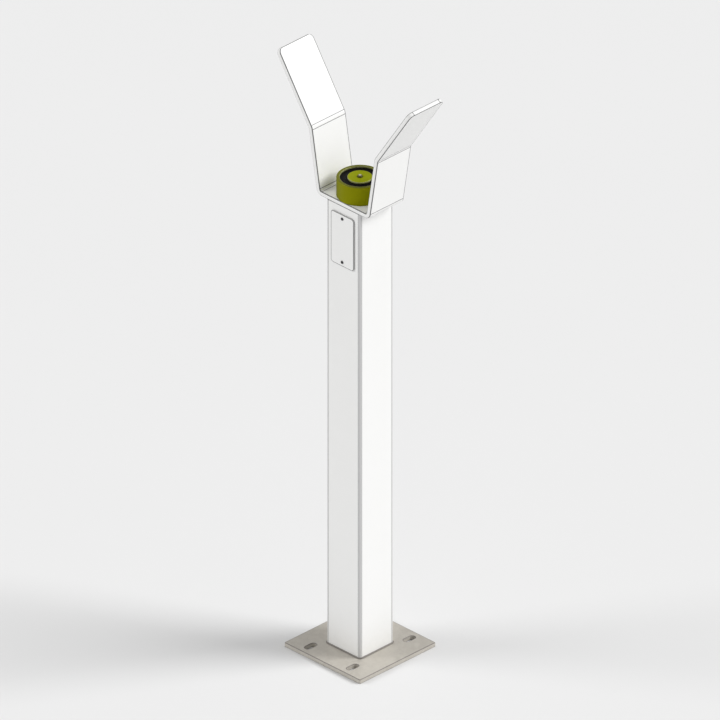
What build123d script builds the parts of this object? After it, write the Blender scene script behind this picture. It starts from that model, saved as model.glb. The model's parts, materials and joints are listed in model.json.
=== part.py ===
from build123d import *
import os
from math import cos, radians, sin, tan

# Rest post of a parking barrier. The boom comes down into the fork, and the pot magnet in the fork
# holds its tip. A spring-loaded pin in the magnet's pole pushes the boom's armature plate off again.
# Millimetres, +Z up. The origin is the centre of the base plate's underside, X runs along the boom,
# Y across the fork, and the access cover is on the -X side of the column.

os.makedirs("parts", exist_ok=True)

# ---------------------------------------------------------------- driving dimensions

# Base plate and its anchor slots
plate_size = 180.0
plate_thickness = 8.0
slot_length = 24.0
slot_width = 11.0
slot_spacing_x = 135.0
slot_spacing_y = 100.0
cable_entry_radius = 20.0
edge_break = 0.6

# Column: square tube with a plate welded into its mouth
tube_size = 80.0
tube_wall = 3.0
tube_corner_radius = 4.0
tube_length = 862.0
foot_weld_leg = 2.5
head_plate_thickness = 8.0
head_plate_gap = 0.3
head_weld_leg = 3.0

# Fork: flat bar with two bends on each side
fork_width = 80.0
fork_thickness = 8.0
fork_base_length = 124.5
fork_lower_height = 120.0
fork_lower_lean = 9.35
fork_upper_length = 143.0
fork_upper_lean = 33.5
fork_lower_bend = 4.0
fork_upper_bend = 8.0
fork_tip_radius = 10.0

# Fork screws, countersunk, under the magnet
fork_screw_spacing = 48.0
fork_screw_radius = 3.0
fork_screw_length = 16.0
fork_screw_head_radius = 6.0
fork_screw_socket = 4.0

# Holding magnet
pot_radius = 40.0
pot_height = 35.0
pot_wall = 5.6
pot_floor = 7.0
pot_edge = 1.0
pole_radius = 21.25
potting_recess = 2.9
potting_thickness = 4.1
potting_gap = 0.02
bobbin_wall = 1.2
bobbin_gap = 0.15
coil_gap = 0.6

# Bolt that holds the magnet from below
magnet_bolt_radius = 4.0
magnet_bolt_reach = 9.0
bolt_head_width = 13.0
bolt_head_height = 5.3
washer_radius = 8.0
washer_thickness = 1.6
spring_washer_radius = 7.0
spring_washer_thickness = 2.0
spring_washer_slit = 1.0

# Ejector pin in the pole
pin_radius = 4.5
pin_stand_out = 3.0
pin_dome_radius = 2.2
pin_collar_height = 3.0
pin_collar_gap = 0.2
pin_tail_radius = 3.2
pin_tail_length = 3.0
pin_bore_radius = 6.5
pin_bore_depth = 17.0
pin_bush_height = 5.0
pin_bush_mouth = 0.8
spring_wire_radius = 0.45
spring_gap = 1.3
spring_turns = 5

# Magnet lead
lead_radius = 2.5
lead_x = 27.0
lead_shift = 8.0
lead_drop = 12.0
lead_slant = 14.0
lead_tail = 16.0
core_radius = 0.9
core_offset = 1.1
core_straight = 6.0
core_slant = 8.0
pot_lead_hole_radius = 3.2
grommet_hole_radius = 5.0
grommet_flange_radius = 7.5
grommet_flange_thickness = 2.0
clip_strap = 0.8
clip_height = 7.0
clip_above_end = 0.5
clip_screw_offset = 7.5
clip_foot_length = 11.5

# Wiring plate behind the access opening
wiring_plate_width = 34.0
wiring_plate_height = 84.0
wiring_plate_thickness = 2.0
wiring_plate_rise = 2.0
stud_radius = 2.5
stud_shift = 10.0
stud_margin = 6.0
stud_end = 1.5
spacer_radius = 4.5
stud_washer_radius = 5.0
stud_washer_thickness = 1.0
stud_nut_width = 8.0
stud_nut_height = 4.0

# Terminal strip
strip_height = 16.0
strip_below_lead = 20.0
strip_base_depth = 12.0
strip_boss_depth = 17.0
strip_boss_width = 7.0
strip_boss_margin = 1.0
strip_ways = 3
strip_pitch = 12.0
insert_size = 4.6
insert_depth = 9.0
insert_length = 13.0
insert_bore_radius = 1.5
core_grip = 12.0
terminal_screw_radius = 1.25
terminal_screw_spacing = 7.0
terminal_screw_set_in = 1.0
terminal_screw_slot = 0.5
strip_screw_radius = 1.25
strip_screw_head_radius = 2.25
strip_screw_length = 14.0

# Access opening and its cover
cover_drop = 14.5
cover_width = 54.0
cover_height = 100.0
cover_thickness = 1.5
cover_corner_radius = 5.5
gasket_thickness = 0.8
gasket_inset = 0.5
opening_width = 38.0
opening_height = 68.0
opening_corner_radius = 4.0
cover_screw_spacing = 84.0
cover_screw_radius = 1.5
cover_screw_length = 10.0
cover_screw_head_radius = 2.75
cover_screw_head_height = 1.6
cover_screw_socket = 2.0
rivet_nut_radius = 2.5
rivet_nut_length = 9.0
rivet_nut_flange_radius = 3.5
rivet_nut_flange_thickness = 0.5
rivet_nut_bulge_radius = 3.4
rivet_nut_bulge_length = 2.0

# Screw heads: share of the head's height that is domed, and that the socket is deep
head_dome = 0.6
socket_depth = 0.6

# Clearances
thread_clearance = 0.05
running_clearance = 0.05
hole_clearance = 0.2
rubber_clearance = 0.1

# ---------------------------------------------------------------- levels and places

tube_inner = tube_size - 2 * tube_wall
tube_top = plate_thickness + tube_length
head_plate_bottom = tube_top - head_plate_thickness
fork_top = tube_top + fork_thickness
pot_floor_top = fork_top + pot_floor
pot_top = fork_top + pot_height
pot_bore_radius = pot_radius - pot_wall
potting_top = pot_top - potting_recess
potting_bottom = potting_top - potting_thickness
pin_bore_bottom = pot_top - pin_bore_depth
pin_bush_bottom = pot_top - pin_bush_height
pin_collar_bottom = pin_bush_bottom - pin_collar_height

lead_outlet = head_plate_bottom - lead_drop
lead_bend = lead_outlet - lead_slant
lead_end = lead_bend - lead_tail
clip_outer_radius = lead_radius + thread_clearance + clip_strap
wiring_plate_front = lead_x + clip_outer_radius
wiring_plate_back = wiring_plate_front + wiring_plate_thickness
wiring_plate_top = lead_outlet + wiring_plate_rise
wiring_plate_centre = wiring_plate_top - wiring_plate_height / 2
strip_top = lead_end - strip_below_lead
strip_centre = strip_top - strip_height / 2
insert_x = wiring_plate_front - insert_depth
cover_back = -tube_size / 2 - gasket_thickness
cover_centre = tube_top - cover_drop - cover_height / 2

standing = (Align.CENTER, Align.CENTER, Align.MIN)
hanging = (Align.CENTER, Align.CENTER, Align.MAX)


def finish(piece: BuildPart, name: str) -> None:
    """Labels a piece and writes it."""
    piece.part.label = name
    export_step(piece.part, f"parts/{name}.step")


def cap_screw(radius: float, length: float, head_radius: float, head_height: float, socket: float) -> Part:
    """A screw with its shank along +Z and a domed socket head below the origin."""
    with BuildPart() as screw:
        Cylinder(radius, length, align=standing)
        Cylinder(head_radius, head_height, align=hanging)
        fillet(screw.edges().sort_by(Axis.Z)[0], head_height * head_dome)
        with BuildSketch(Plane.XY.offset(-head_height)):
            RegularPolygon(socket / 2, 6, major_radius=False)
        extrude(amount=head_height * socket_depth, mode=Mode.SUBTRACT)
    return screw.part


# ---------------------------------------------------------------- base plate

with BuildPart() as base_plate:
    with BuildSketch():
        Rectangle(plate_size, plate_size)
        with GridLocations(slot_spacing_x, slot_spacing_y, 2, 2):
            SlotOverall(slot_length, slot_width, mode=Mode.SUBTRACT)
        Circle(cable_entry_radius, mode=Mode.SUBTRACT)
    extrude(amount=plate_thickness)
    chamfer(base_plate.faces().sort_by(Axis.Z)[-1].outer_wire().edges(), edge_break)
finish(base_plate, "base_plate")

# ---------------------------------------------------------------- column

with BuildPart() as column_tube:
    with BuildSketch(Plane.XY.offset(plate_thickness)):
        RectangleRounded(tube_size, tube_size, tube_corner_radius)
        RectangleRounded(tube_inner, tube_inner, tube_corner_radius - tube_wall, mode=Mode.SUBTRACT)
    extrude(amount=tube_length)
    with BuildSketch(Plane.YZ.offset(-tube_size / 2)):
        with Locations((0, cover_centre)):
            RectangleRounded(opening_width, opening_height, opening_corner_radius)
            with GridLocations(0, cover_screw_spacing, 1, 2):
                Circle(rivet_nut_radius + thread_clearance)
    extrude(amount=2 * tube_wall, mode=Mode.SUBTRACT)
finish(column_tube, "column_tube")

with BuildPart() as foot_weld:
    weld_outer = tube_size + 2 * foot_weld_leg
    with BuildSketch(Plane.XY.offset(plate_thickness)):
        RectangleRounded(weld_outer, weld_outer, tube_corner_radius + foot_weld_leg)
    extrude(amount=foot_weld_leg, taper=45)
    with BuildSketch(Plane.XY.offset(plate_thickness)):
        RectangleRounded(tube_size, tube_size, tube_corner_radius)
    extrude(amount=foot_weld_leg, mode=Mode.SUBTRACT)
finish(foot_weld, "foot_weld")

with BuildPart() as head_plate:
    head_plate_size = tube_inner - 2 * head_plate_gap
    with BuildSketch(Plane.XY.offset(head_plate_bottom)):
        Rectangle(head_plate_size, head_plate_size)
    extrude(amount=head_plate_thickness)
    chamfer(head_plate.faces().sort_by(Axis.Z)[-1].outer_wire().edges(), head_weld_leg)
    with Locations((0, 0, tube_top)):
        Hole(magnet_bolt_radius + hole_clearance)
        with Locations((lead_x, 0)):
            Hole(grommet_hole_radius)
        with GridLocations(fork_screw_spacing, fork_screw_spacing, 2, 2):
            Hole(fork_screw_radius + thread_clearance)
finish(head_plate, "head_plate")

with BuildPart() as head_weld:
    with BuildSketch(Plane.XY.offset(tube_top)):
        RectangleRounded(tube_inner, tube_inner, tube_corner_radius - tube_wall)
    extrude(amount=-head_weld_leg)
    with BuildSketch(Plane.XY.offset(tube_top - head_weld_leg)):
        Rectangle(head_plate_size, head_plate_size)
    extrude(amount=head_weld_leg, taper=45, mode=Mode.SUBTRACT)
finish(head_weld, "head_weld")

# ---------------------------------------------------------------- fork

base_half = fork_base_length / 2
knee_y = base_half + fork_lower_height * tan(radians(fork_lower_lean))
knee_z = tube_top + fork_lower_height
tip_y = knee_y + fork_upper_length * sin(radians(fork_upper_lean))
tip_z = knee_z + fork_upper_length * cos(radians(fork_upper_lean))
fork_side = [(base_half, tube_top), (knee_y, knee_z), (tip_y, tip_z)]
fork_outline = [(-y, z) for y, z in reversed(fork_side)] + fork_side
lower_bend_outside = fork_lower_bend + fork_thickness
fork_bends = [fork_upper_bend, lower_bend_outside, lower_bend_outside, fork_upper_bend]

with BuildPart() as fork:
    with BuildSketch(Plane.YZ):
        with BuildLine():
            underside = FilletPolyline(*fork_outline, radius=fork_bends)
            offset(underside, amount=fork_thickness, side=Side.LEFT, mode=Mode.ADD)
        make_face()
    extrude(amount=fork_width / 2, both=True)
    tip_faces = fork.faces().sort_by(Axis.Z)[-2:]
    tip_corners = tip_faces.edges().filter_by(Axis.X, reverse=True)
    fillet(tip_corners, fork_tip_radius)
    with Locations((0, 0, fork_top)):
        Hole(magnet_bolt_radius + hole_clearance)
        with Locations((lead_x, 0)):
            Hole(grommet_hole_radius)
        with GridLocations(fork_screw_spacing, fork_screw_spacing, 2, 2):
            CounterSinkHole(
                fork_screw_radius + hole_clearance, fork_screw_head_radius + hole_clearance,
                counter_sink_angle=90,
            )
finish(fork, "fork")

with BuildPart() as fork_screw:
    head_cone = fork_screw_head_radius - fork_screw_radius
    Cylinder(fork_screw_radius, fork_screw_length, align=hanging)
    Cone(fork_screw_radius, fork_screw_head_radius, head_cone, align=hanging)
    with BuildSketch():
        RegularPolygon(fork_screw_socket / 2, 6, major_radius=False)
    extrude(amount=-head_cone * socket_depth, mode=Mode.SUBTRACT)
with BuildPart() as fork_screws:
    with Locations((0, 0, fork_top)):
        with GridLocations(fork_screw_spacing, fork_screw_spacing, 2, 2):
            add(fork_screw.part)
finish(fork_screws, "fork_screws")

# ---------------------------------------------------------------- holding magnet

with BuildPart() as magnet_pot:
    with Locations((0, 0, fork_top)):
        Cylinder(pot_radius, pot_height, align=standing)
    with Locations((0, 0, pot_floor_top)):
        Cylinder(pot_bore_radius, pot_height - pot_floor, align=standing, mode=Mode.SUBTRACT)
    pot_rims = magnet_pot.edges().filter_by(GeomType.CIRCLE).filter_by(lambda edge: edge.radius == pot_radius)
    chamfer(pot_rims, pot_edge)
    with Locations((0, 0, pot_floor_top)):
        Hole(magnet_bolt_radius + hole_clearance)
        with Locations((lead_x, 0)):
            Hole(pot_lead_hole_radius)
finish(magnet_pot, "magnet_pot")

with BuildPart() as pole_core:
    with Locations((0, 0, pot_floor_top)):
        Cylinder(pole_radius, pot_height - pot_floor, align=standing)
        Cylinder(
            magnet_bolt_radius + thread_clearance, magnet_bolt_reach + thread_clearance,
            align=standing, mode=Mode.SUBTRACT,
        )
    chamfer(pole_core.edges().group_by(Axis.Z)[-1], pot_edge)
    with Locations((0, 0, pot_top)):
        Cylinder(pin_bore_radius, pin_bore_depth, align=hanging, mode=Mode.SUBTRACT)
finish(pole_core, "pole_core")

bobbin_inner = pole_radius + bobbin_gap
bobbin_outer = pot_bore_radius - bobbin_gap
coil_inner = bobbin_inner + bobbin_wall
coil_outer = bobbin_outer - coil_gap
coil_bottom = pot_floor_top + bobbin_wall
coil_height = potting_bottom - pot_floor_top - 2 * bobbin_wall

with BuildPart() as coil_bobbin:
    with Locations((0, 0, pot_floor_top)):
        Cylinder(bobbin_outer, potting_bottom - pot_floor_top, align=standing)
        Cylinder(bobbin_inner, potting_bottom - pot_floor_top, align=standing, mode=Mode.SUBTRACT)
    with BuildSketch(Plane.XY.offset(coil_bottom)):
        Circle(bobbin_outer)
        Circle(coil_inner, mode=Mode.SUBTRACT)
    extrude(amount=coil_height, mode=Mode.SUBTRACT)
finish(coil_bobbin, "coil_bobbin")

with BuildPart() as coil_winding:
    with BuildSketch(Plane.XY.offset(coil_bottom)):
        Circle(coil_outer)
        Circle(coil_inner, mode=Mode.SUBTRACT)
    extrude(amount=coil_height)
finish(coil_winding, "coil_winding")

with BuildPart() as potting_ring:
    with BuildSketch(Plane.XY.offset(potting_bottom)):
        Circle(pot_bore_radius - potting_gap)
        Circle(pole_radius + potting_gap, mode=Mode.SUBTRACT)
    extrude(amount=potting_thickness)
finish(potting_ring, "potting_ring")

with BuildPart() as magnet_washers:
    with Locations((0, 0, head_plate_bottom)):
        Cylinder(washer_radius, washer_thickness, align=hanging)
    with Locations((0, 0, head_plate_bottom - washer_thickness)):
        Cylinder(spring_washer_radius, spring_washer_thickness, align=hanging)
    with Locations((0, 0, head_plate_bottom)):
        Hole(magnet_bolt_radius + hole_clearance)
    with BuildSketch(Plane.XY.offset(head_plate_bottom - washer_thickness)):
        with Locations((spring_washer_radius, 0)):
            Rectangle(2 * spring_washer_radius, spring_washer_slit)
    extrude(amount=-spring_washer_thickness, mode=Mode.SUBTRACT)
finish(magnet_washers, "magnet_washers")

with BuildPart() as magnet_bolt:
    bolt_seat = head_plate_bottom - washer_thickness - spring_washer_thickness
    with BuildSketch(Plane.XY.offset(bolt_seat)):
        RegularPolygon(bolt_head_width / 2, 6, major_radius=False)
    extrude(amount=-bolt_head_height)
    with Locations((0, 0, bolt_seat)):
        Cylinder(magnet_bolt_radius, pot_floor_top + magnet_bolt_reach - bolt_seat, align=standing)
finish(magnet_bolt, "magnet_bolt")

with BuildPart() as pin_bush:
    with Locations((0, 0, pin_bush_bottom)):
        Cylinder(pin_bore_radius - thread_clearance, pin_bush_height, align=standing)
        Cylinder(pin_radius + running_clearance, pin_bush_height, align=standing, mode=Mode.SUBTRACT)
    mouth = pin_bush.faces().sort_by(Axis.Z)[-1].inner_wires().edges()
    chamfer(mouth, pin_bush_mouth)
finish(pin_bush, "pin_bush")

with BuildPart() as ejector_pin:
    with Locations((0, 0, pin_bush_bottom)):
        Cylinder(pin_radius, pin_bush_height + pin_stand_out, align=standing)
    fillet(ejector_pin.edges().sort_by(Axis.Z)[-1], pin_dome_radius)
    with Locations((0, 0, pin_collar_bottom)):
        Cylinder(pin_bore_radius - pin_collar_gap, pin_collar_height, align=standing)
        Cylinder(pin_tail_radius, pin_tail_length, align=hanging)
finish(ejector_pin, "ejector_pin")

spring_mean_radius = pin_bore_radius - spring_gap - spring_wire_radius
spring_height = pin_collar_bottom - pin_bore_bottom - 2 * spring_wire_radius
with BuildPart() as ejector_spring:
    with BuildLine():
        spring_line = Helix(
            pitch=spring_height / spring_turns, height=spring_height, radius=spring_mean_radius,
            center=(0, 0, pin_bore_bottom + spring_wire_radius),
        )
    with BuildSketch(Plane(origin=spring_line @ 0, z_dir=spring_line % 0)):
        Circle(spring_wire_radius)
    sweep()
finish(ejector_spring, "ejector_spring")

# ---------------------------------------------------------------- magnet lead

with BuildPart() as lead_grommet:
    with Locations((lead_x, 0, head_plate_bottom)):
        Cylinder(grommet_hole_radius - rubber_clearance, fork_top - head_plate_bottom, align=standing)
        Cylinder(grommet_flange_radius, grommet_flange_thickness, align=hanging)
    with Locations((lead_x, 0, fork_top)):
        Hole(lead_radius + rubber_clearance)
finish(lead_grommet, "lead_grommet")


def arc_radii(points: list) -> list:
    """The largest tangent arc at each corner of a route that both its runs allow."""
    radii = []
    for before, corner, after in zip(points, points[1:], points[2:]):
        run_in = Vector(corner) - Vector(before)
        run_out = Vector(after) - Vector(corner)
        half_turn = radians(run_in.get_angle(run_out) / 2)
        radii.append(0.45 * min(run_in.length, run_out.length) / tan(half_turn))
    return radii


def routed_tube(points: list, radius: float) -> Part:
    """A round tube along straight runs joined by tangent arcs."""
    radii = arc_radii(points)
    print("arc radii", [round(r, 1) for r in radii], "for a tube of diameter", 2 * radius)
    with BuildPart() as tube:
        with BuildLine():
            route = FilletPolyline(*points, radius=radii)
        with BuildSketch(Plane(origin=route @ 0, z_dir=route % 0)):
            Circle(radius)
        sweep()
    return tube.part


lead_route = [
    (lead_x, 0, pot_floor_top),
    (lead_x, 0, lead_outlet),
    (lead_x, lead_shift, lead_bend),
    (lead_x, lead_shift, lead_end),
]
with BuildPart() as magnet_lead:
    add(routed_tube(lead_route, lead_radius))
finish(magnet_lead, "magnet_lead")

core_ends = [(lead_shift - core_offset, 0.0), (lead_shift + core_offset, strip_pitch)]
with BuildPart() as lead_cores:
    for sheath_y, way_y in core_ends:
        core_route = [
            (lead_x, sheath_y, lead_end),
            (lead_x, sheath_y, lead_end - core_straight),
            (insert_x, way_y, lead_end - core_straight - core_slant),
            (insert_x, way_y, strip_top - core_grip),
        ]
        add(routed_tube(core_route, core_radius))
finish(lead_cores, "lead_cores")

clip_centre = lead_end + clip_above_end + clip_height / 2
clip_screw_y = lead_shift - clip_screw_offset
with BuildPart() as lead_clip:
    with BuildSketch(Plane.XY.offset(clip_centre - clip_height / 2)):
        with Locations((lead_x, lead_shift)):
            Circle(clip_outer_radius)
        with Locations((wiring_plate_front, lead_shift)):
            Rectangle(clip_strap, clip_foot_length, align=(Align.MAX, Align.MAX))
        with Locations((lead_x, lead_shift)):
            Circle(lead_radius + thread_clearance, mode=Mode.SUBTRACT)
    extrude(amount=clip_height)
    with Locations(Plane.YZ.offset(wiring_plate_front)):
        with Locations((clip_screw_y, clip_centre)):
            Hole(cover_screw_radius + thread_clearance, depth=2 * clip_strap)
finish(lead_clip, "lead_clip")

with BuildPart() as lead_clip_screw:
    with Locations(Plane.YZ.offset(wiring_plate_front - clip_strap)):
        with Locations((clip_screw_y, clip_centre)):
            add(cap_screw(
                cover_screw_radius, clip_strap + 2 * wiring_plate_thickness,
                cover_screw_head_radius, cover_screw_head_height, cover_screw_socket,
            ))
finish(lead_clip_screw, "lead_clip_screw")

# ---------------------------------------------------------------- wiring plate and its studs

stud_half = wiring_plate_height / 2 - stud_margin
stud_places = [(-stud_shift, wiring_plate_centre + stud_half), (stud_shift, wiring_plate_centre - stud_half)]
way_places = [((way - (strip_ways - 1) / 2) * strip_pitch, strip_centre) for way in range(strip_ways)]
strip_screw_places = [(-strip_pitch / 2, strip_centre), (strip_pitch / 2, strip_centre)]

with BuildPart() as wiring_plate:
    with BuildSketch(Plane.YZ.offset(wiring_plate_front)):
        with Locations((0, wiring_plate_centre)):
            Rectangle(wiring_plate_width, wiring_plate_height)
        with Locations(*stud_places):
            Circle(stud_radius + hole_clearance, mode=Mode.SUBTRACT)
        with Locations(*strip_screw_places):
            Circle(strip_screw_radius + thread_clearance, mode=Mode.SUBTRACT)
        with Locations((clip_screw_y, clip_centre)):
            Circle(cover_screw_radius + thread_clearance, mode=Mode.SUBTRACT)
    extrude(amount=wiring_plate_thickness)
finish(wiring_plate, "wiring_plate")

spacer_length = tube_inner / 2 - wiring_plate_back
with BuildPart() as plate_spacers:
    with BuildSketch(Plane.YZ.offset(wiring_plate_back)):
        with Locations(*stud_places):
            Circle(spacer_radius)
            Circle(stud_radius + hole_clearance, mode=Mode.SUBTRACT)
    extrude(amount=spacer_length)
finish(plate_spacers, "plate_spacers")

washer_front = wiring_plate_front - stud_washer_thickness
nut_front = washer_front - stud_nut_height
with BuildPart() as plate_studs:
    with BuildSketch(Plane.YZ.offset(tube_inner / 2)):
        with Locations(*stud_places):
            Circle(stud_radius)
    extrude(amount=-(tube_inner / 2 - nut_front + stud_end))
finish(plate_studs, "plate_studs")

with BuildPart() as plate_washers:
    with BuildSketch(Plane.YZ.offset(washer_front)):
        with Locations(*stud_places):
            Circle(stud_washer_radius)
            Circle(stud_radius + hole_clearance, mode=Mode.SUBTRACT)
    extrude(amount=stud_washer_thickness)
finish(plate_washers, "plate_washers")

with BuildPart() as plate_nuts:
    with BuildSketch(Plane.YZ.offset(nut_front)):
        with Locations(*stud_places):
            RegularPolygon(stud_nut_width / 2, 6, major_radius=False)
            Circle(stud_radius + thread_clearance, mode=Mode.SUBTRACT)
    extrude(amount=stud_nut_height)
finish(plate_nuts, "plate_nuts")

# ---------------------------------------------------------------- terminal strip

strip_front = wiring_plate_front - strip_boss_depth
strip_width = strip_ways * strip_pitch - 2 * strip_boss_margin
with BuildPart() as terminal_strip:
    with BuildSketch(Plane.YZ.offset(wiring_plate_front)):
        with Locations((0, strip_centre)):
            Rectangle(strip_width, strip_height)
    extrude(amount=-strip_base_depth)
    with BuildSketch(Plane.YZ.offset(wiring_plate_front)):
        with Locations(*way_places):
            Rectangle(strip_boss_width, strip_height - 2 * strip_boss_margin)
    extrude(amount=-strip_boss_depth)
    with BuildSketch(Plane.XY.offset(strip_centre - strip_height / 2)):
        with Locations((insert_x, 0)):
            with GridLocations(0, strip_pitch, 1, strip_ways):
                Rectangle(insert_size + 2 * thread_clearance, insert_size + 2 * thread_clearance)
    extrude(amount=strip_height, mode=Mode.SUBTRACT)
    with BuildSketch(Plane.YZ.offset(strip_front)):
        with Locations(*way_places):
            with GridLocations(0, terminal_screw_spacing, 1, 2):
                Circle(terminal_screw_radius + hole_clearance)
    extrude(amount=strip_boss_depth - insert_depth, mode=Mode.SUBTRACT)
    with BuildSketch(Plane.YZ.offset(wiring_plate_front)):
        with Locations(*strip_screw_places):
            Circle(strip_screw_radius + hole_clearance)
    extrude(amount=-strip_base_depth, mode=Mode.SUBTRACT)
finish(terminal_strip, "terminal_strip")

with BuildPart() as terminal_inserts:
    with BuildSketch(Plane.XY.offset(strip_centre - insert_length / 2)):
        with Locations((insert_x, 0)):
            with GridLocations(0, strip_pitch, 1, strip_ways):
                Rectangle(insert_size, insert_size)
                Circle(insert_bore_radius, mode=Mode.SUBTRACT)
    extrude(amount=insert_length)
    with BuildSketch(Plane.YZ.offset(insert_x - insert_size / 2)):
        with Locations(*way_places):
            with GridLocations(0, terminal_screw_spacing, 1, 2):
                Circle(terminal_screw_radius + thread_clearance)
    extrude(amount=insert_size / 2, mode=Mode.SUBTRACT)
finish(terminal_inserts, "terminal_inserts")

terminal_screw_length = insert_x - core_radius - thread_clearance - strip_front - terminal_screw_set_in
with BuildPart() as terminal_screws:
    with BuildSketch(Plane.YZ.offset(strip_front + terminal_screw_set_in)):
        with Locations(*way_places):
            with GridLocations(0, terminal_screw_spacing, 1, 2):
                Circle(terminal_screw_radius)
    extrude(amount=terminal_screw_length)
    with BuildSketch(Plane.YZ.offset(strip_front + terminal_screw_set_in)):
        with Locations(*way_places):
            with GridLocations(0, terminal_screw_spacing, 1, 2):
                Rectangle(2 * terminal_screw_radius, terminal_screw_slot)
    extrude(amount=terminal_screw_radius, mode=Mode.SUBTRACT)
finish(terminal_screws, "terminal_screws")

with BuildPart() as strip_screws:
    with Locations(Plane.YZ.offset(wiring_plate_front - strip_base_depth)):
        with Locations(*strip_screw_places):
            add(cap_screw(
                strip_screw_radius, strip_screw_length,
                strip_screw_head_radius, strip_screw_radius, strip_screw_radius,
            ))
finish(strip_screws, "strip_screws")

# ---------------------------------------------------------------- access cover

with BuildPart() as rivet_nuts:
    with Locations(Plane.YZ.offset(-tube_size / 2)):
        with Locations((0, cover_centre)):
            with GridLocations(0, cover_screw_spacing, 1, 2):
                Cylinder(rivet_nut_flange_radius, rivet_nut_flange_thickness, align=hanging)
                Cylinder(rivet_nut_radius, rivet_nut_length, align=standing)
    with Locations(Plane.YZ.offset(-tube_inner / 2)):
        with Locations((0, cover_centre)):
            with GridLocations(0, cover_screw_spacing, 1, 2):
                Cylinder(rivet_nut_bulge_radius, rivet_nut_bulge_length, align=standing)
                Hole(cover_screw_radius + running_clearance)
finish(rivet_nuts, "rivet_nuts")

with BuildPart() as cover_gasket:
    with BuildSketch(Plane.YZ.offset(cover_back)):
        with Locations((0, cover_centre)):
            RectangleRounded(
                cover_width - 2 * gasket_inset, cover_height - 2 * gasket_inset,
                cover_corner_radius - gasket_inset,
            )
            RectangleRounded(opening_width, opening_height, opening_corner_radius, mode=Mode.SUBTRACT)
            with GridLocations(0, cover_screw_spacing, 1, 2):
                Circle(rivet_nut_flange_radius + hole_clearance, mode=Mode.SUBTRACT)
    extrude(amount=gasket_thickness)
finish(cover_gasket, "cover_gasket")

with BuildPart() as cover_plate:
    with BuildSketch(Plane.YZ.offset(cover_back)):
        with Locations((0, cover_centre)):
            RectangleRounded(cover_width, cover_height, cover_corner_radius)
            with GridLocations(0, cover_screw_spacing, 1, 2):
                Circle(cover_screw_radius + hole_clearance, mode=Mode.SUBTRACT)
    extrude(amount=-cover_thickness)
    chamfer(cover_plate.faces().sort_by(Axis.X)[0].outer_wire().edges(), edge_break / 2)
finish(cover_plate, "cover_plate")

with BuildPart() as cover_screws:
    with Locations(Plane.YZ.offset(cover_back - cover_thickness)):
        with Locations((0, cover_centre)):
            with GridLocations(0, cover_screw_spacing, 1, 2):
                add(cap_screw(
                    cover_screw_radius, cover_screw_length,
                    cover_screw_head_radius, cover_screw_head_height, cover_screw_socket,
                ))
finish(cover_screws, "cover_screws")
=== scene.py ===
"""Looks of a barrier boom rest post: steel column, bent fork, holding magnet and wiring behind a cover."""
import json
import logging
import math
from collections.abc import Iterator, Sequence
from contextlib import contextmanager
from dataclasses import dataclass
from enum import Enum
from itertools import product
from typing import Any

import bmesh
import bpy
from mathutils import Matrix, Vector
from mathutils.geometry import delaunay_2d_cdt


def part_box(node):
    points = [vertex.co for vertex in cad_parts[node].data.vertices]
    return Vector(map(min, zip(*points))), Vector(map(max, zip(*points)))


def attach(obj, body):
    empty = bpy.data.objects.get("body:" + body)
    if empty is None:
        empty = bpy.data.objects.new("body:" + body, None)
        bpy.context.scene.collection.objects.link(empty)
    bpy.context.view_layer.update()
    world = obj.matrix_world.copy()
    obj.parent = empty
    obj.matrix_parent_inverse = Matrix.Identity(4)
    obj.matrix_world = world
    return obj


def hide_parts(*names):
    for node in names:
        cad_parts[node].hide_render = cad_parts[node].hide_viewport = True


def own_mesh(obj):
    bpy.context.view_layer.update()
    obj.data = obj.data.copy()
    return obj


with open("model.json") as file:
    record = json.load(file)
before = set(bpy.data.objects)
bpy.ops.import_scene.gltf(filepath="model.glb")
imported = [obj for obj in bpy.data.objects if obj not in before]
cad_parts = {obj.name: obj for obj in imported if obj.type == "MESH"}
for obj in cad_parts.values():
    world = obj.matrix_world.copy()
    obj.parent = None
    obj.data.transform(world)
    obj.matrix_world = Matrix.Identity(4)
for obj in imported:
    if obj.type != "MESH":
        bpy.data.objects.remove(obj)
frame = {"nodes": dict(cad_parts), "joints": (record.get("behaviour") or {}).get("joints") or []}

MM = 0.001
TINY = 1e-7
MERGE = 0.002 * MM
COLLAPSE = 0.001 * MM
SHARP_ANGLE = math.radians(32)
BREAK_ANGLE = math.radians(40)
FLAT = 0.998
DIGITS = 6
TRIANGLES_INSIDE = 1
TO_FRONT = Matrix(((0, 0, -1), (-1, 0, 0), (0, 1, 0))).to_4x4()
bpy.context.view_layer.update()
LOG = logging.getLogger("rest_post")

Point = tuple[float, float]
Colour = tuple[float, float, float]
Operand = "Signal | float"


# ------------------------------------------------------------------ node graphs


class Graph:
    """A node tree, with one method that adds any node."""

    def __init__(self, tree: bpy.types.NodeTree) -> None:
        """Wraps a shader or geometry tree."""
        self.tree = tree

    def node(self, kind: str, settings: dict[str, Any], sockets: dict[int | str, Any]) -> bpy.types.Node:
        """Adds a node.

        Args:
            kind: The node's type.
            settings: The node's own settings, set first. "stops" holds a ramp's two grey stops.
            sockets: Values or links, by socket name or number.

        Returns:
            The new node.
        """
        made = self.tree.nodes.new(kind)
        for name, value in settings.items():
            if name == "stops":
                for stop, (place, grey) in zip(made.color_ramp.elements, value):
                    stop.position, stop.color = place, (grey, grey, grey, 1.0)
            else:
                setattr(made, name, value)
        self.feed(made, sockets)
        return made

    def feed(self, node: bpy.types.Node, sockets: dict[int | str, Any]) -> None:
        """Sets or links a node's inputs.

        Args:
            node: The node.
            sockets: Values or links, by socket name or number.
        """
        for key, value in sockets.items():
            source = getattr(value, "socket", value)
            if isinstance(source, bpy.types.NodeSocket):
                self.tree.links.new(source, node.inputs[key])
            else:
                node.inputs[key].default_value = source


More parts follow.
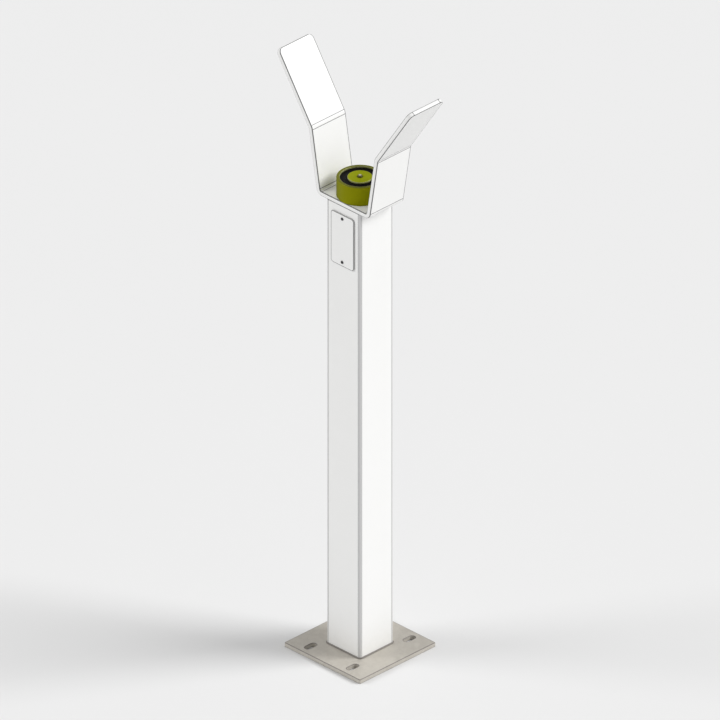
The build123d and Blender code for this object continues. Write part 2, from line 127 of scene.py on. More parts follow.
class Signal:
    """A number that varies over a surface. Python arithmetic on it adds Math nodes."""

    def __init__(self, graph: Graph, socket: bpy.types.NodeSocket) -> None:
        """Wraps an output socket of a graph."""
        self.graph = graph
        self.socket = socket

    def _math(self, operation: str, first: Operand, second: Operand = 0.0, clamp: bool = False) -> "Signal":
        """Adds a Math node.

        Args:
            operation: The node's operation.
            first: Its first operand.
            second: Its second operand.
            clamp: True to keep the result between 0 and 1.

        Returns:
            The result.
        """
        settings = {"operation": operation, "use_clamp": clamp}
        made = self.graph.node("ShaderNodeMath", settings, {0: first, 1: second})
        return Signal(self.graph, made.outputs[0])

    def __add__(self, other: Operand) -> "Signal":
        """Sum."""
        return self._math("ADD", self, other)

    def __sub__(self, other: Operand) -> "Signal":
        """Difference."""
        return self._math("SUBTRACT", self, other)

    def __rsub__(self, other: Operand) -> "Signal":
        """Difference, with the signal last."""
        return self._math("SUBTRACT", other, self)

    def __mul__(self, other: Operand) -> "Signal":
        """Product."""
        return self._math("MULTIPLY", self, other)

    def __truediv__(self, other: Operand) -> "Signal":
        """Quotient."""
        return self._math("DIVIDE", self, other)

    def __pow__(self, other: Operand) -> "Signal":
        """Power."""
        return self._math("POWER", self, other)

    def __gt__(self, other: Operand) -> "Signal":
        """1 where the signal is greater, else 0."""
        return self._math("GREATER_THAN", self, other)

    def __lt__(self, other: Operand) -> "Signal":
        """1 where the signal is less, else 0."""
        return self._math("LESS_THAN", self, other)

    __radd__ = __add__
    __rmul__ = __mul__

    def sine(self) -> "Signal":
        """The sine of the signal in radians."""
        return self._math("SINE", self)

    def absolute(self) -> "Signal":
        """The signal without its sign."""
        return self._math("ABSOLUTE", self)

    def clamped(self) -> "Signal":
        """The signal kept between 0 and 1."""
        return self._math("ADD", self, 0.0, clamp=True)


class Shader(Graph):
    """A material under construction, around one Principled shader."""

    def __init__(self, name: str) -> None:
        """Starts a material.

        Args:
            name: The material's name.
        """
        self.material = bpy.data.materials.new(name)
        self.material.use_nodes = True
        self.material.node_tree.nodes.clear()
        super().__init__(self.material.node_tree)
        self.surface = self.node("ShaderNodeBsdfPrincipled", {}, {})
        self.node("ShaderNodeOutputMaterial", {}, {"Surface": self.surface.outputs[0]})
        self.place = self.node("ShaderNodeTexCoord", {}, {}).outputs["Object"]

    def _part(self, vector: bpy.types.NodeSocket, letter: str) -> Signal:
        """The X, Y or Z of a vector."""
        return Signal(self, self.node("ShaderNodeSeparateXYZ", {}, {0: vector}).outputs[letter])

    def axis(self, letter: str) -> Signal:
        """The place along X, Y or Z, in metres."""
        return self._part(self.place, letter)

    def facing(self, letter: str) -> Signal:
        """How far the surface faces along X, Y or Z, from -1 to 1."""
        return self._part(self.node("ShaderNodeNewGeometry", {}, {}).outputs["True Normal"], letter)

    def from_axis(self) -> Signal:
        """The distance from the Z axis, in metres."""
        x, y = self.axis("X"), self.axis("Y")
        return (x * x + y * y) ** 0.5

    def noise(self, size: float, detail: float = 3.0, stretch: Colour = (1.0, 1.0, 1.0)) -> Signal:
        """Soft noise about 0.5.

        Args:
            size: The size of a blotch in metres.
            detail: The number of finer layers.
            stretch: How much finer the blotches are along X, Y and Z.

        Returns:
            The noise.
        """
        scaled = self.node("ShaderNodeMapping", {}, {"Vector": self.place, "Scale": stretch})
        sockets = {"Vector": scaled.outputs[0], "Scale": 1.0 / size, "Detail": detail}
        return Signal(self, self.node("ShaderNodeTexNoise", {}, sockets).outputs[0])

    def cells(self, size: float) -> Signal:
        """A random number from 0 to 1 for each crystal-like cell of a size in metres."""
        cell = self.node("ShaderNodeTexVoronoi", {}, {"Vector": self.place, "Scale": 1.0 / size})
        return Signal(self, self.node("ShaderNodeSeparateColor", {}, {0: cell.outputs["Color"]}).outputs[0])

    def ramp(self, signal: Signal, *stops: Point) -> Signal:
        """Bends a signal through two stops, each a place and a value."""
        return Signal(self, self.node("ShaderNodeValToRGB", {"stops": stops}, {0: signal}).outputs[0])

    def blend(self, share: Signal, first: Any, second: Any) -> bpy.types.NodeSocket:
        """Mixes two colours, each a tuple or a socket, from the first at 0 to the second at 1."""
        low, high = ((*c, 1.0) if isinstance(c, tuple) else c for c in (first, second))
        return self.node("ShaderNodeMix", {"data_type": "RGBA"}, {0: share, 6: low, 7: high}).outputs[2]

    def finish(self, relief: Signal, depth: float, sockets: dict[str, Any]) -> bpy.types.Material:
        """Gives the Principled shader its relief and its other inputs.

        Args:
            relief: The height pattern of the surface.
            depth: The height in metres that a relief of 1 stands for.
            sockets: Values or links, by socket name.

        Returns:
            The finished material.
        """
        bump = self.node("ShaderNodeBump", {}, {"Strength": 1.0, "Distance": depth, "Height": relief})
        self.feed(self.surface, {**sockets, "Normal": bump.outputs[0]})
        return self.material


# ------------------------------------------------------------------ finishes


def toned(colour: Colour, share: float, lift: float = 0.0) -> Colour:
    """A colour times a share, plus a little of white."""
    return tuple(share * c + lift for c in colour)


@dataclass(frozen=True)
class PowderCoat:
    """Powder coat with orange peel, and a little dust near the ground."""

    name: str = "white_powder_coat"
    colour: Colour = (0.86, 0.86, 0.85)
    dust: Colour = (0.62, 0.60, 0.56)
    peel: float = 1.3 * MM
    peel_depth: float = 0.05 * MM
    blotch: float = 60 * MM
    dust_height: float = 90 * MM
    roughness: float = 0.38
    gloss: float = 0.25
    gloss_roughness: float = 0.25

    def build(self) -> bpy.types.Material:
        """Builds the material.

        Returns:
            The finished material.
        """
        shader = Shader(self.name)
        blotches = shader.noise(self.blotch)
        height = shader.axis("Z") / self.dust_height
        near_ground = ((1.0 - height).clamped() ** 2.0) * shader.noise(self.blotch / 6) * 0.5
        clean = shader.blend(blotches, self.colour, toned(self.colour, 0.975))
        peel = shader.noise(self.peel, detail=1.5) + 0.25 * shader.noise(self.peel / 4, detail=1.0)
        return shader.finish(peel, self.peel_depth, {
            "Base Color": shader.blend(near_ground.clamped(), clean, self.dust),
            "Roughness": self.roughness + 0.1 * blotches + 0.2 * near_ground,
            "Coat Weight": self.gloss, "Coat Roughness": self.gloss_roughness,
        })


@dataclass(frozen=True)
class Galvanised:
    """Hot-dip galvanised steel with a spangle of zinc crystals."""

    name: str = "galvanised_steel"
    dark: Colour = (0.45, 0.42, 0.37)
    light: Colour = (0.58, 0.55, 0.495)
    spangle: float = 9 * MM
    stain: float = 45 * MM
    grain: float = 1.5 * MM
    grain_depth: float = 0.06 * MM
    metallic: float = 0.25

    def build(self) -> bpy.types.Material:
        """Builds the material.

        Returns:
            The finished material.
        """
        shader = Shader(self.name)
        crystals = shader.cells(self.spangle) * 0.6 + shader.cells(self.spangle / 2.7) * 0.4
        tone = (0.55 * crystals + 0.45 * shader.noise(self.stain, detail=4.0)).clamped()
        return shader.finish(shader.noise(self.grain) + 0.5 * crystals, self.grain_depth, {
            "Base Color": shader.blend(tone, self.dark, self.light),
            "Roughness": 0.46 + 0.16 * crystals, "Metallic": self.metallic,
        })


@dataclass(frozen=True)
class TurnedPlating:
    """Olive-yellow chromate on turned steel: rings on the faces, lines round the sides, upward faces painted
    lighter than the sides as painted light, and two painted highlight rings.
    """

    name: str = "chromated_steel"
    side: Colour = (0.235, 0.24, 0.003)
    # Painted light: the colour of the upward faces is lighter than the sides' colour, standing in for light
    # from above.
    face: Colour = (0.325, 0.37, 0.004)
    rim: Colour = (0.14, 0.145, 0.03)
    rim_start: float = 33 * MM
    # Painted highlight: a bright colour for thin rings at the pole's edge and at the pot's bore edge.
    highlight_colour: Colour = (0.38, 0.39, 0.19)
    highlight_rings: Point = (20.9 * MM, 34.65 * MM)
    ring_width: float = 0.45 * MM
    pitch: float = 0.35 * MM
    groove_depth: float = 0.02 * MM
    metallic: float = 0.5
    gloss: float = 0.2

    def build(self) -> bpy.types.Material:
        """Builds the material.

        Returns:
            The finished material.
        """
        shader = Shader(self.name)
        upward = shader.facing("Z").absolute() > 0.5
        radius = shader.from_axis()
        along = radius * upward + shader.axis("Z") * (1.0 - upward)
        turns = (along * (math.tau / self.pitch)).sine() * 0.5 + 0.5
        wander = shader.noise(3 * MM, detail=2.0)
        # Painted light: upward faces inside the rim take the lighter colour, the sides the darker one.
        top = shader.blend(radius > self.rim_start, self.face, self.rim)
        base = shader.blend(upward, self.side, top)
        # Painted highlight rings, broken up by noise.
        highlight_gaps = shader.ramp(wander, (0.3, 0.35), (0.6, 1.0))
        rings = [self.ring_width > (radius - place).absolute() for place in self.highlight_rings]
        clouded = shader.blend(shader.noise(14 * MM) * 0.5, base, self.side)
        return shader.finish(0.35 * turns + 0.8 * wander, self.groove_depth, {
            "Base Color": shader.blend(((rings[0] + rings[1]) * highlight_gaps).clamped(), clouded, self.highlight_colour),
            "Roughness": 0.36 + 0.14 * wander + 0.08 * turns, "Metallic": self.metallic,
            "Specular Tint": (*self.side, 1.0), "Specular IOR Level": self.gloss,
        })


@dataclass(frozen=True)
class PinSteel:
    """Hardened steel: its crown painted bright, partly polished wear and partly a painted highlight, and its
    flank painted dark as painted shade.
    """

    crown: float
    name: str = "ejector_pin_steel"
    polish_and_highlight: Colour = (0.80, 0.76, 0.55)
    flank_shade: Colour = (0.09, 0.085, 0.03)
    polish_and_highlight_radius: float = 2.5 * MM
    polish_and_highlight_height: float = 0.9 * MM
    metallic: float = 0.9

    def build(self) -> bpy.types.Material:
        """Builds the material.

        Returns:
            The finished material.
        """
        shader = Shader(self.name)
        # Painted highlight and painted shade: bright near the crown's middle, partly polished wear, and dark
        # down the flank, standing in for shade.
        below = (self.crown - shader.axis("Z")) / self.polish_and_highlight_height
        reach = shader.from_axis() / self.polish_and_highlight_radius + below
        mask = shader.ramp((reach * 0.5).clamped(), (0.42, 1.0), (0.62, 0.0))
        marks = shader.noise(0.5 * MM)
        return shader.finish(marks, 0.01 * MM, {
            "Base Color": shader.blend(mask, self.flank_shade, self.polish_and_highlight),
            "Roughness": 0.24 + 0.2 * marks + 0.2 * (1.0 - mask), "Metallic": self.metallic,
        })


@dataclass(frozen=True)
class Steel:
    """Bare or plated steel with drawn scratches."""

    name: str
    colour: Colour
    roughness: float = 0.32
    scratch: float = 0.5 * MM
    scratch_depth: float = 0.02 * MM
    stretch: Colour = (1.0, 6.0, 1.0)
    metallic: float = 0.9

    def build(self) -> bpy.types.Material:
        """Builds the material.

        Returns:
            The finished material.
        """
        shader = Shader(self.name)
        scratches = shader.noise(self.scratch, stretch=self.stretch)
        clouds = shader.noise(12 * MM)
        return shader.finish(scratches, self.scratch_depth, {
            "Base Color": shader.blend(clouds, self.colour, toned(self.colour, 0.72)),
            "Roughness": self.roughness + 0.18 * clouds + 0.1 * scratches, "Metallic": self.metallic,
        })


@dataclass(frozen=True)
class Moulded:
    """Plastic or rubber with a fine moulded grain and a few dull patches."""

    name: str
    colour: Colour
    roughness: float = 0.5
    grain: float = 0.4 * MM
    depth: float = 0.03 * MM
    patch: float = 10 * MM

    def build(self) -> bpy.types.Material:
        """Builds the material.

        Returns:
            The finished material.
        """
        shader = Shader(self.name)
        patches = shader.noise(self.patch)
        return shader.finish(shader.noise(self.grain, detail=2.0), self.depth, {
            "Base Color": shader.blend(patches, self.colour, toned(self.colour, 0.82, 0.02)),
            "Roughness": self.roughness + 0.16 * patches,
        })


@dataclass(frozen=True)
class Resin:
    """Black potting resin that set with a slightly wavy skin and holds some dust."""

    name: str = "potting_resin"
    colour: Colour = (0.0035, 0.003, 0.003)
    dust: Colour = (0.02, 0.019, 0.017)
    wave_depth: float = 0.5 * MM
    gloss: float = 0.04

    def build(self) -> bpy.types.Material:
        """Builds the material.

        Returns:
            The finished material.
        """
        shader = Shader(self.name)
        specks = shader.ramp(shader.noise(0.7 * MM, detail=4.0), (0.62, 0.0), (0.72, 1.0))
        waves = shader.noise(9 * MM, detail=1.0)
        return shader.finish(waves + 0.02 * specks, self.wave_depth, {
            "Base Color": shader.blend(specks * 0.6, self.colour, self.dust),
            "Roughness": 0.3 + 0.25 * waves + 0.3 * specks, "Specular IOR Level": self.gloss,
        })


@dataclass(frozen=True)
class CoreInsulation:
    """Thin insulation of the two cores, brown on one side of a plane and blue on the other."""

    divide: float
    name: str = "core_insulation"
    brown: Colour = (0.16, 0.055, 0.02)
    blue: Colour = (0.02, 0.07, 0.30)

    def build(self) -> bpy.types.Material:
        """Builds the material.

        Returns:
            The finished material.
        """
        shader = Shader(self.name)
        smears = shader.noise(2 * MM)
        return shader.finish(smears, 0.03 * MM, {
            "Base Color": shader.blend(shader.axis("Y") > self.divide, self.brown, self.blue),
            "Roughness": 0.3 + 0.2 * smears,
        })


# ------------------------------------------------------------------ outlines


def arc(centre: Point, radius: float, start: float, sweep: float, steps: int) -> list[Point]:
    """Points along an arc, its angles in degrees, with both ends and a chord for each step."""
    angles = [math.radians(start + sweep * i / steps) for i in range(steps + 1)]
    return [(centre[0] + radius * math.cos(a), centre[1] + radius * math.sin(a)) for a in angles]


def circle(radius: float, centre: Point = (0.0, 0.0), steps: int = 48) -> list[Point]:
    """The closed outline of a circle."""
    return arc(centre, radius, 0, 360, steps)[:-1]


def rounded_rectangle(width: float, height: float, radius: float, steps: int = 8) -> list[Point]:
    """The outline of a rectangle about the origin, with rounded corners.

    Args:
        width: Size along the first axis.
        height: Size along the second axis.
        radius: Corner radius.
        steps: Chords at each corner.

    Returns:
        The closed outline, anticlockwise.
    """
    x, y = width / 2 - radius, height / 2 - radius
    corners = [((x, y), 0), ((-x, y), 90), ((-x, -y), 180), ((x, -y), 270)]
    return [p for centre, start in corners for p in arc(centre, radius, start, 90, steps)]


def anchor_slot(centre: Point, length: float, width: float, steps: int = 14) -> list[Point]:
    """The outline of a slot that runs along the first axis.

    Args:
        centre: The slot's centre.
        length: End to end.
        width: Side to side.
        steps: Chords at each end.

    Returns:
        The closed outline.
    """
    reach = (length - width) / 2
    right, left = (centre[0] + reach, centre[1]), (centre[0] - reach, centre[1])
    return arc(right, width / 2, -90, 180, steps) + arc(left, width / 2, 90, 180, steps)


def rounded_profile(corners: Sequence[tuple[float, float, float]], steps: int = 5) -> list[Point]:
    """Rounds the corners of a polygon or an open line.

    Args:
        corners: Points with the radius of the round at each, 0 for a sharp one.
        steps: Chords at each round.

    Returns:
        The rounded line.
    """
    made: list[Point] = []
    for i, (x, y, radius) in enumerate(corners):
        if radius == 0:
            made.append((x, y))
            continue
        here = Vector((x, y))
        before = (Vector(corners[i - 1][:2]) - here).normalized()
        after = (Vector(corners[(i + 1) % len(corners)][:2]) - here).normalized()
        half = before.angle(after) / 2
        middle = here + (before + after).normalized() * (radius / math.sin(half))
        start, end = (here + way * (radius / math.tan(half)) - middle for way in (before, after))
        turn = start.angle_signed(end)
        spokes = [Matrix.Rotation(-turn * step / steps, 2) @ start for step in range(steps + 1)]
        made += [tuple(middle + spoke) for spoke in spokes]
    return made


# ------------------------------------------------------------------ meshes


def add_piece(name: str, mesh: bpy.types.Mesh | None = None) -> bpy.types.Object:
    """Puts a mesh into the scene.

    Args:
        name: The object's name.
        mesh: Its mesh, or None for a new empty one.

    Returns:
        The object, at the origin.
    """
    piece = bpy.data.objects.new(name, mesh or bpy.data.meshes.new(name))
    bpy.context.scene.collection.objects.link(piece)
    return piece


@contextmanager
def editing(piece: bpy.types.Object) -> Iterator[bmesh.types.BMesh]:
    """Opens a piece's mesh for edits and writes them back.

    Args:
        piece: The piece.

    Yields:
        The mesh to edit.
    """
    work = bmesh.new()
    work.from_mesh(piece.data)
    yield work
    work.to_mesh(piece.data)
    work.free()


def settle(piece: bpy.types.Object) -> None:
    """Turns a piece with its modifiers into its plain mesh.

    Args:
        piece: The piece.
    """
    graph = bpy.context.evaluated_depsgraph_get()
    graph.update()
    shown = piece.evaluated_get(graph)
    mesh = bpy.data.meshes.new_from_object(shown, preserve_all_data_layers=True, depsgraph=graph)
    piece.modifiers.clear()
    piece.data = mesh


def mend(piece: bpy.types.Object) -> None:
    """Merges a mesh's doubles, turns its faces outwards and shades it.

    Args:
        piece: The piece.
    """
    with editing(piece) as work:
        bmesh.ops.remove_doubles(work, verts=work.verts, dist=MERGE)
        bmesh.ops.recalc_face_normals(work, faces=work.faces)
    shade(piece)


def shade(piece: bpy.types.Object) -> None:
    """Shades a mesh smooth between its sharp edges."""
    piece.data.polygons.foreach_set("use_smooth", [True] * len(piece.data.polygons))
    piece.data.set_sharp_from_angle(angle=SHARP_ANGLE)


def lift(piece: bpy.types.Object, height: float) -> None:
    """Moves a piece's mesh up."""
    piece.data.transform(Matrix.Translation((0, 0, height)))


def face_front(piece: bpy.types.Object, x: float, middle: Vector) -> None:
    """Turns a piece that was drawn lying flat to the post's front, its upper side outwards.

    Args:
        piece: The piece.
        x: Where the plane at its height of 0 goes.
        middle: Where its origin goes along Y and Z.
    """
    piece.data.transform(Matrix.Translation((x, middle.y, middle.z)) @ TO_FRONT)
    shade(piece)


def lathe(name: str, profile: Sequence[Point], closed: bool = False, segments: int = 96) -> bpy.types.Object:
    """Turns a profile of radius and height round Z.

    Args:
        name: The object's name.
        profile: The points of the profile. A radius of 0 lies on the axis.
        closed: True if the last point joins the first.
        segments: Facets round the axis.

    Returns:
        The turned piece.
    """
    piece = add_piece(name)
    with editing(piece) as work:
        rings = []
        for radius, height in profile:
            if radius < TINY:
                rings.append([work.verts.new((0.0, 0.0, height))] * segments)
            else:
                rings.append([work.verts.new((x, y, height)) for x, y in circle(radius, steps=segments)])
        pairs = list(zip(rings, rings[1:])) + ([(rings[-1], rings[0])] if closed else [])
        for (low, high), i in product(pairs, range(segments)):
            j = (i + 1) % segments
            corners = list(dict.fromkeys([low[i], low[j], high[j], high[i]]))
            if len(corners) > 2:
                work.faces.new(corners)
    mend(piece)
    return piece


def flat_piece(name: str, loops: Sequence[Sequence[Point]], thickness: float) -> bpy.types.Object:
    """A plate with holes, lying flat, its upper face at 0.

    Args:
        name: The object's name.
        loops: The outline and the holes.
        thickness: How thick the plate is.

    Returns:
        The plate.
    """
    points, regions = [], []
    for loop in loops:
        regions.append(range(len(points), len(points) + len(loop)))
        points += [Vector((round(x, DIGITS), round(y, DIGITS))) for x, y in loop]
    corners, _, triangles, _, _, origins = delaunay_2d_cdt(points, [], regions, TRIANGLES_INSIDE, TINY)
    solid = [triangle for triangle, within in zip(triangles, origins) if len(within) % 2]
    plate = add_piece(name)
    plate.data.from_pydata([(x, y, -thickness) for x, y in corners], [], solid)
    with editing(plate) as work:
        raised = bmesh.ops.extrude_face_region(work, geom=work.faces[:])["geom"]
        upper = [part for part in raised if isinstance(part, bmesh.types.BMVert)]
        bmesh.ops.translate(work, vec=(0, 0, thickness), verts=upper)
        bmesh.ops.recalc_face_normals(work, faces=work.faces)
    shade(plate)
    return plate


def band_edges(piece: bpy.types.Object, width: float) -> None:
    """Gives the upper face of a flat piece a narrow band of its second material along the edges, which the
    callers fill with painted shade lines.

    Args:
        piece: The piece, its upper face still at 0.
        width: The width of the band.
    """
    with editing(piece) as work:
        upper = [face for face in work.faces if face.normal.z > FLAT]
        made = bmesh.ops.inset_region(
            work, faces=upper, thickness=width, use_boundary=True, use_even_offset=True
        )
        for face in made["faces"]:
            face.material_index = 1


def cut(piece: bpy.types.Object, *cutters: bpy.types.Object) -> None:
    """Cuts shapes out of a piece and throws the cutters away.

    Args:
        piece: The piece that is cut.
        cutters: The shapes that are taken out of it.
    """
    for cutter in cutters:
        made = piece.modifiers.new("cut", "BOOLEAN")
        made.operation = "DIFFERENCE"
        made.solver = "EXACT"
        made.object = cutter
    settle(piece)
    for cutter in cutters:
        bpy.data.objects.remove(cutter)
    with editing(piece) as work:
        bmesh.ops.dissolve_degenerate(work, edges=work.edges, dist=COLLAPSE)
    shade(piece)


def break_edges(piece: bpy.types.Object, width: float, segments: int = 3, edge_slot: int = 1) -> None:
    """Rounds the sharp edges of a piece and keeps its flats flat.

    Args:
        piece: The piece.
        width: The width of the round.
        segments: Facets across it.
        edge_slot: The material slot of the rounds, or -1 for the one beside them.
    """
    made = piece.modifiers.new("edges", "BEVEL")
    made.width = width
    made.segments = segments
    made.limit_method = "ANGLE"
    made.angle_limit = BREAK_ANGLE
    made.use_clamp_overlap = False
    made.loop_slide = False
    made.material = edge_slot
    settle(piece)
    shade(piece)
    level_normals(piece)


def level_normals(piece: bpy.types.Object) -> None:
    """Keeps the flats of a piece flat beside its rounds.

    Args:
        piece: The piece.
    """
    made = piece.modifiers.new("normals", "WEIGHTED_NORMAL")
    made.keep_sharp = True
    made.weight = 80
    settle(piece)


# ------------------------------------------------------------------ geometry nodes


class GeometryRecipe(Graph):
    """A Geometry Nodes tree with named inputs."""

    def __init__(self, name: str, inputs: dict[str, str]) -> None:
        """Starts a tree that takes a geometry, the inputs and a material.

        Args:
            name: The tree's name.
            inputs: Socket types by input name.
        """
        super().__init__(bpy.data.node_groups.new(name, "GeometryNodeTree"))
        self.names: dict[str, str] = {}
        for label, kind in {"Geometry": "Geometry", **inputs, "Material": "Material"}.items():
            made = self.tree.interface.new_socket(name=label, in_out="INPUT", socket_type="NodeSocket" + kind)
            self.names[label] = made.identifier
        self.tree.interface.new_socket(name="Geometry", in_out="OUTPUT", socket_type="NodeSocketGeometry")
        self.given = self.node("NodeGroupInput", {}, {}).outputs

    def add(self, kind: str, sockets: dict[int | str, Any], **settings: Any) -> bpy.types.NodeSocket:
        """Adds a geometry node and returns its first output."""
        return self.node("GeometryNode" + kind, settings, sockets).outputs[0]

    def vector(self, sockets: dict[int, Any]) -> bpy.types.NodeSocket:
        """Joins numbers into a vector, by place."""
        return self.node("ShaderNodeCombineXYZ", {}, sockets).outputs[0]

    def close(self, geometry: bpy.types.NodeSocket) -> "GeometryRecipe":
        """Realizes instances, sets the material and ends the tree.

        Args:
            geometry: What the tree has made.

        Returns:
            The finished tree.
        """
        real = self.add("RealizeInstances", {0: geometry})
        dressed = self.add("SetMaterial", {"Geometry": real, "Material": self.given["Material"]})
        self.node("NodeGroupOutput", {}, {0: dressed})
        return self

    def run(self, piece: bpy.types.Object, material: bpy.types.Material, **values: Any) -> None:
        """Runs the tree on a piece and keeps the result as its plain mesh.

        Args:
            piece: The piece that the tree starts from.
            material: What the result is made of.
            values: Input values by name.
        """
        modifier = piece.modifiers.new(self.tree.name, "NODES")
        modifier.node_group = self.tree
        for label, value in {**values, "Material": material}.items():
            modifier[self.names[label]] = value
        settle(piece)


def rows_recipe() -> GeometryRecipe:
    """A tree that repeats a piece in columns and rows about the origin.

    Returns:
        The finished tree.
    """
    inputs = {"Columns": "Int", "Rows": "Int", "Width": "Float", "Height": "Float"}
    recipe = GeometryRecipe("rows_of_fasteners", inputs)
    given = recipe.given
    sockets = {0: given["Width"], 1: given["Height"], 2: given["Columns"], 3: given["Rows"]}
    grid = recipe.add("MeshGrid", sockets)
    return recipe.close(recipe.add("InstanceOnPoints", {0: grid, 2: given["Geometry"]}))


def bead_recipe() -> GeometryRecipe:
    """A tree that lays overlapping weld ripples along a path.

    Returns:
        The finished tree.
    """
    inputs = {"Step": "Float", "Leg": "Float", "Length": "Float", "Seed": "Int"}
    recipe = GeometryRecipe("weld_bead", inputs)
    given = recipe.given
    path = recipe.add("MeshToCurve", {0: given["Geometry"]})
    sockets = {"Curve": path, "Length": given["Step"]}
    stops = recipe.node("GeometryNodeCurveToPoints", {"mode": "LENGTH"}, sockets).outputs
    ball = recipe.add("MeshUVSphere", {"Segments": 14, "Rings": 8, "Radius": 1.0})
    size = recipe.vector({0: given["Leg"], 1: given["Leg"], 2: given["Length"]})
    uneven = recipe.node(
        "FunctionNodeRandomValue", {"data_type": "FLOAT_VECTOR"},
        {0: (0.92, 0.92, 0.85), 1: (1.0, 1.0, 1.1), "Seed": given["Seed"]},
    )
    copies = recipe.add("InstanceOnPoints", {
        "Points": stops["Points"], "Instance": recipe.add("Transform", {"Geometry": ball, "Scale": size}),
        "Rotation": stops["Rotation"], "Scale": uneven.outputs[0],
    })
    return recipe.close(recipe.add("SetShadeSmooth", {0: copies}))


def winding_recipe() -> GeometryRecipe:
    """A tree that stacks turns of round wire up the Z axis.

    Returns:
        The finished tree.
    """
    inputs = {"Turns": "Int", "Pitch": "Float", "Radius": "Float", "Wire": "Float"}
    recipe = GeometryRecipe("coil_turns", inputs)
    given = recipe.given
    hoop = recipe.add("CurvePrimitiveCircle", {"Resolution": 96, "Radius": given["Radius"]})
    section = recipe.add("CurvePrimitiveCircle", {"Resolution": 8, "Radius": given["Wire"]})
    step = recipe.vector({2: given["Pitch"]})
    line = recipe.add("MeshLine", {"Count": given["Turns"], "Offset": step}, mode="OFFSET")
    turns = recipe.add("InstanceOnPoints", {0: line, 2: recipe.add("CurveToMesh", {0: hoop, 1: section})})
    both = recipe.node("GeometryNodeJoinGeometry", {}, {0: turns})
    recipe.feed(both, {0: given["Geometry"]})
    return recipe.close(both.outputs[0])


def spring_recipe() -> GeometryRecipe:
    """A tree that winds a spring whose end turns lie close, up from the origin.

    Returns:
        The finished tree.
    """
    inputs = {"Turns": "Float", "Radius": "Float", "Height": "Float", "Wire": "Float"}
    recipe = GeometryRecipe("pin_spring", inputs)
    given = recipe.given
    radius = given["Radius"]
    sockets = {"Resolution": 200, "Rotations": given["Turns"], "Start Radius": radius, "End Radius": radius}
    coil = recipe.add("CurveSpiral", {**sockets, "Height": 0.0})
    sockets = {"Value": recipe.add("SplineParameter", {}), "To Max": given["Height"]}
    rise = recipe.node("ShaderNodeMapRange", {"interpolation_type": "SMOOTHSTEP"}, sockets).outputs[0]
    lifted = recipe.add("SetPosition", {"Geometry": coil, "Offset": recipe.vector({2: rise})})
    section = recipe.add("CurvePrimitiveCircle", {"Resolution": 12, "Radius": given["Wire"]})
    return recipe.close(recipe.add("CurveToMesh", {0: lifted, 1: section, "Fill Caps": True}))


# ------------------------------------------------------------------ fasteners


class Drive(Enum):
    """What turns a screw."""

    HEX_SOCKET = "hexagon socket"
    SLOT = "slot"


@dataclass
class Screw:
    """A screw drawn with its head up and the underside of the head at 0."""

    radius: float
    length: float
    head_radius: float
    head_height: float
    drive_size: float
    drive: Drive = Drive.HEX_SOCKET
    countersunk: bool = False
    pitch: float = 0.5 * MM
    drive_share: float = 0.6
    thread_share: float = 0.6
    tip_share: float = 0.8
    dome: tuple[float, float, float] = (0.45, 0.35, 0.55)

    def profile(self) -> list[Point]:
        """The screw's outline on one side of its axis.

        Returns:
            The points from the tip to the middle of the head.
        """
        root = self.radius - self.thread_share * self.pitch
        start = -self.length
        points = [(0.0, start), (root * self.tip_share, start)]
        top = -self.head_radius + self.radius if self.countersunk else 0.0
        for turn in range(int((top - start) / self.pitch) - 1):
            low = start + (turn + 0.5) * self.pitch
            points += [(root, low), (self.radius, low + 0.5 * self.pitch)]
        points.append((root, top))
        if self.countersunk:
            return points + [(self.radius, top), (self.head_radius, 0.0), (0.0, 0.0)]
        across, up, radius = self.dome
        edge = arc((self.head_radius * across, self.head_height * up), self.head_radius * radius, 0, 70, 8)
        scale = self.head_height / max(y for _, y in edge)
        return points + [(self.head_radius, 0.0), *((x, y * scale) for x, y in edge), (0.0, self.head_height)]

    def build(self, name: str) -> bpy.types.Object:
        """Makes the screw.

        Args:
            name: The object's name.

        Returns:
            The screw, standing at the origin.
        """
        screw = lathe(name, self.profile(), segments=48)
        height = 0.0 if self.countersunk else self.head_height
        depth = self.drive_share * max(self.head_height, self.drive_size)
        half = self.drive_size / 2
        if self.drive is Drive.HEX_SOCKET:
            outline = circle(half / math.cos(math.radians(30)), steps=6)
        else:
            reach = 2 * self.head_radius
            outline = [(-reach, -half), (reach, -half), (reach, half), (-reach, half)]
        cutter = flat_piece(name + "_drive", [outline], 2 * depth)
        lift(cutter, height + depth)
        cut(screw, cutter)
        return screw


# ------------------------------------------------------------------ the post's sub-assemblies


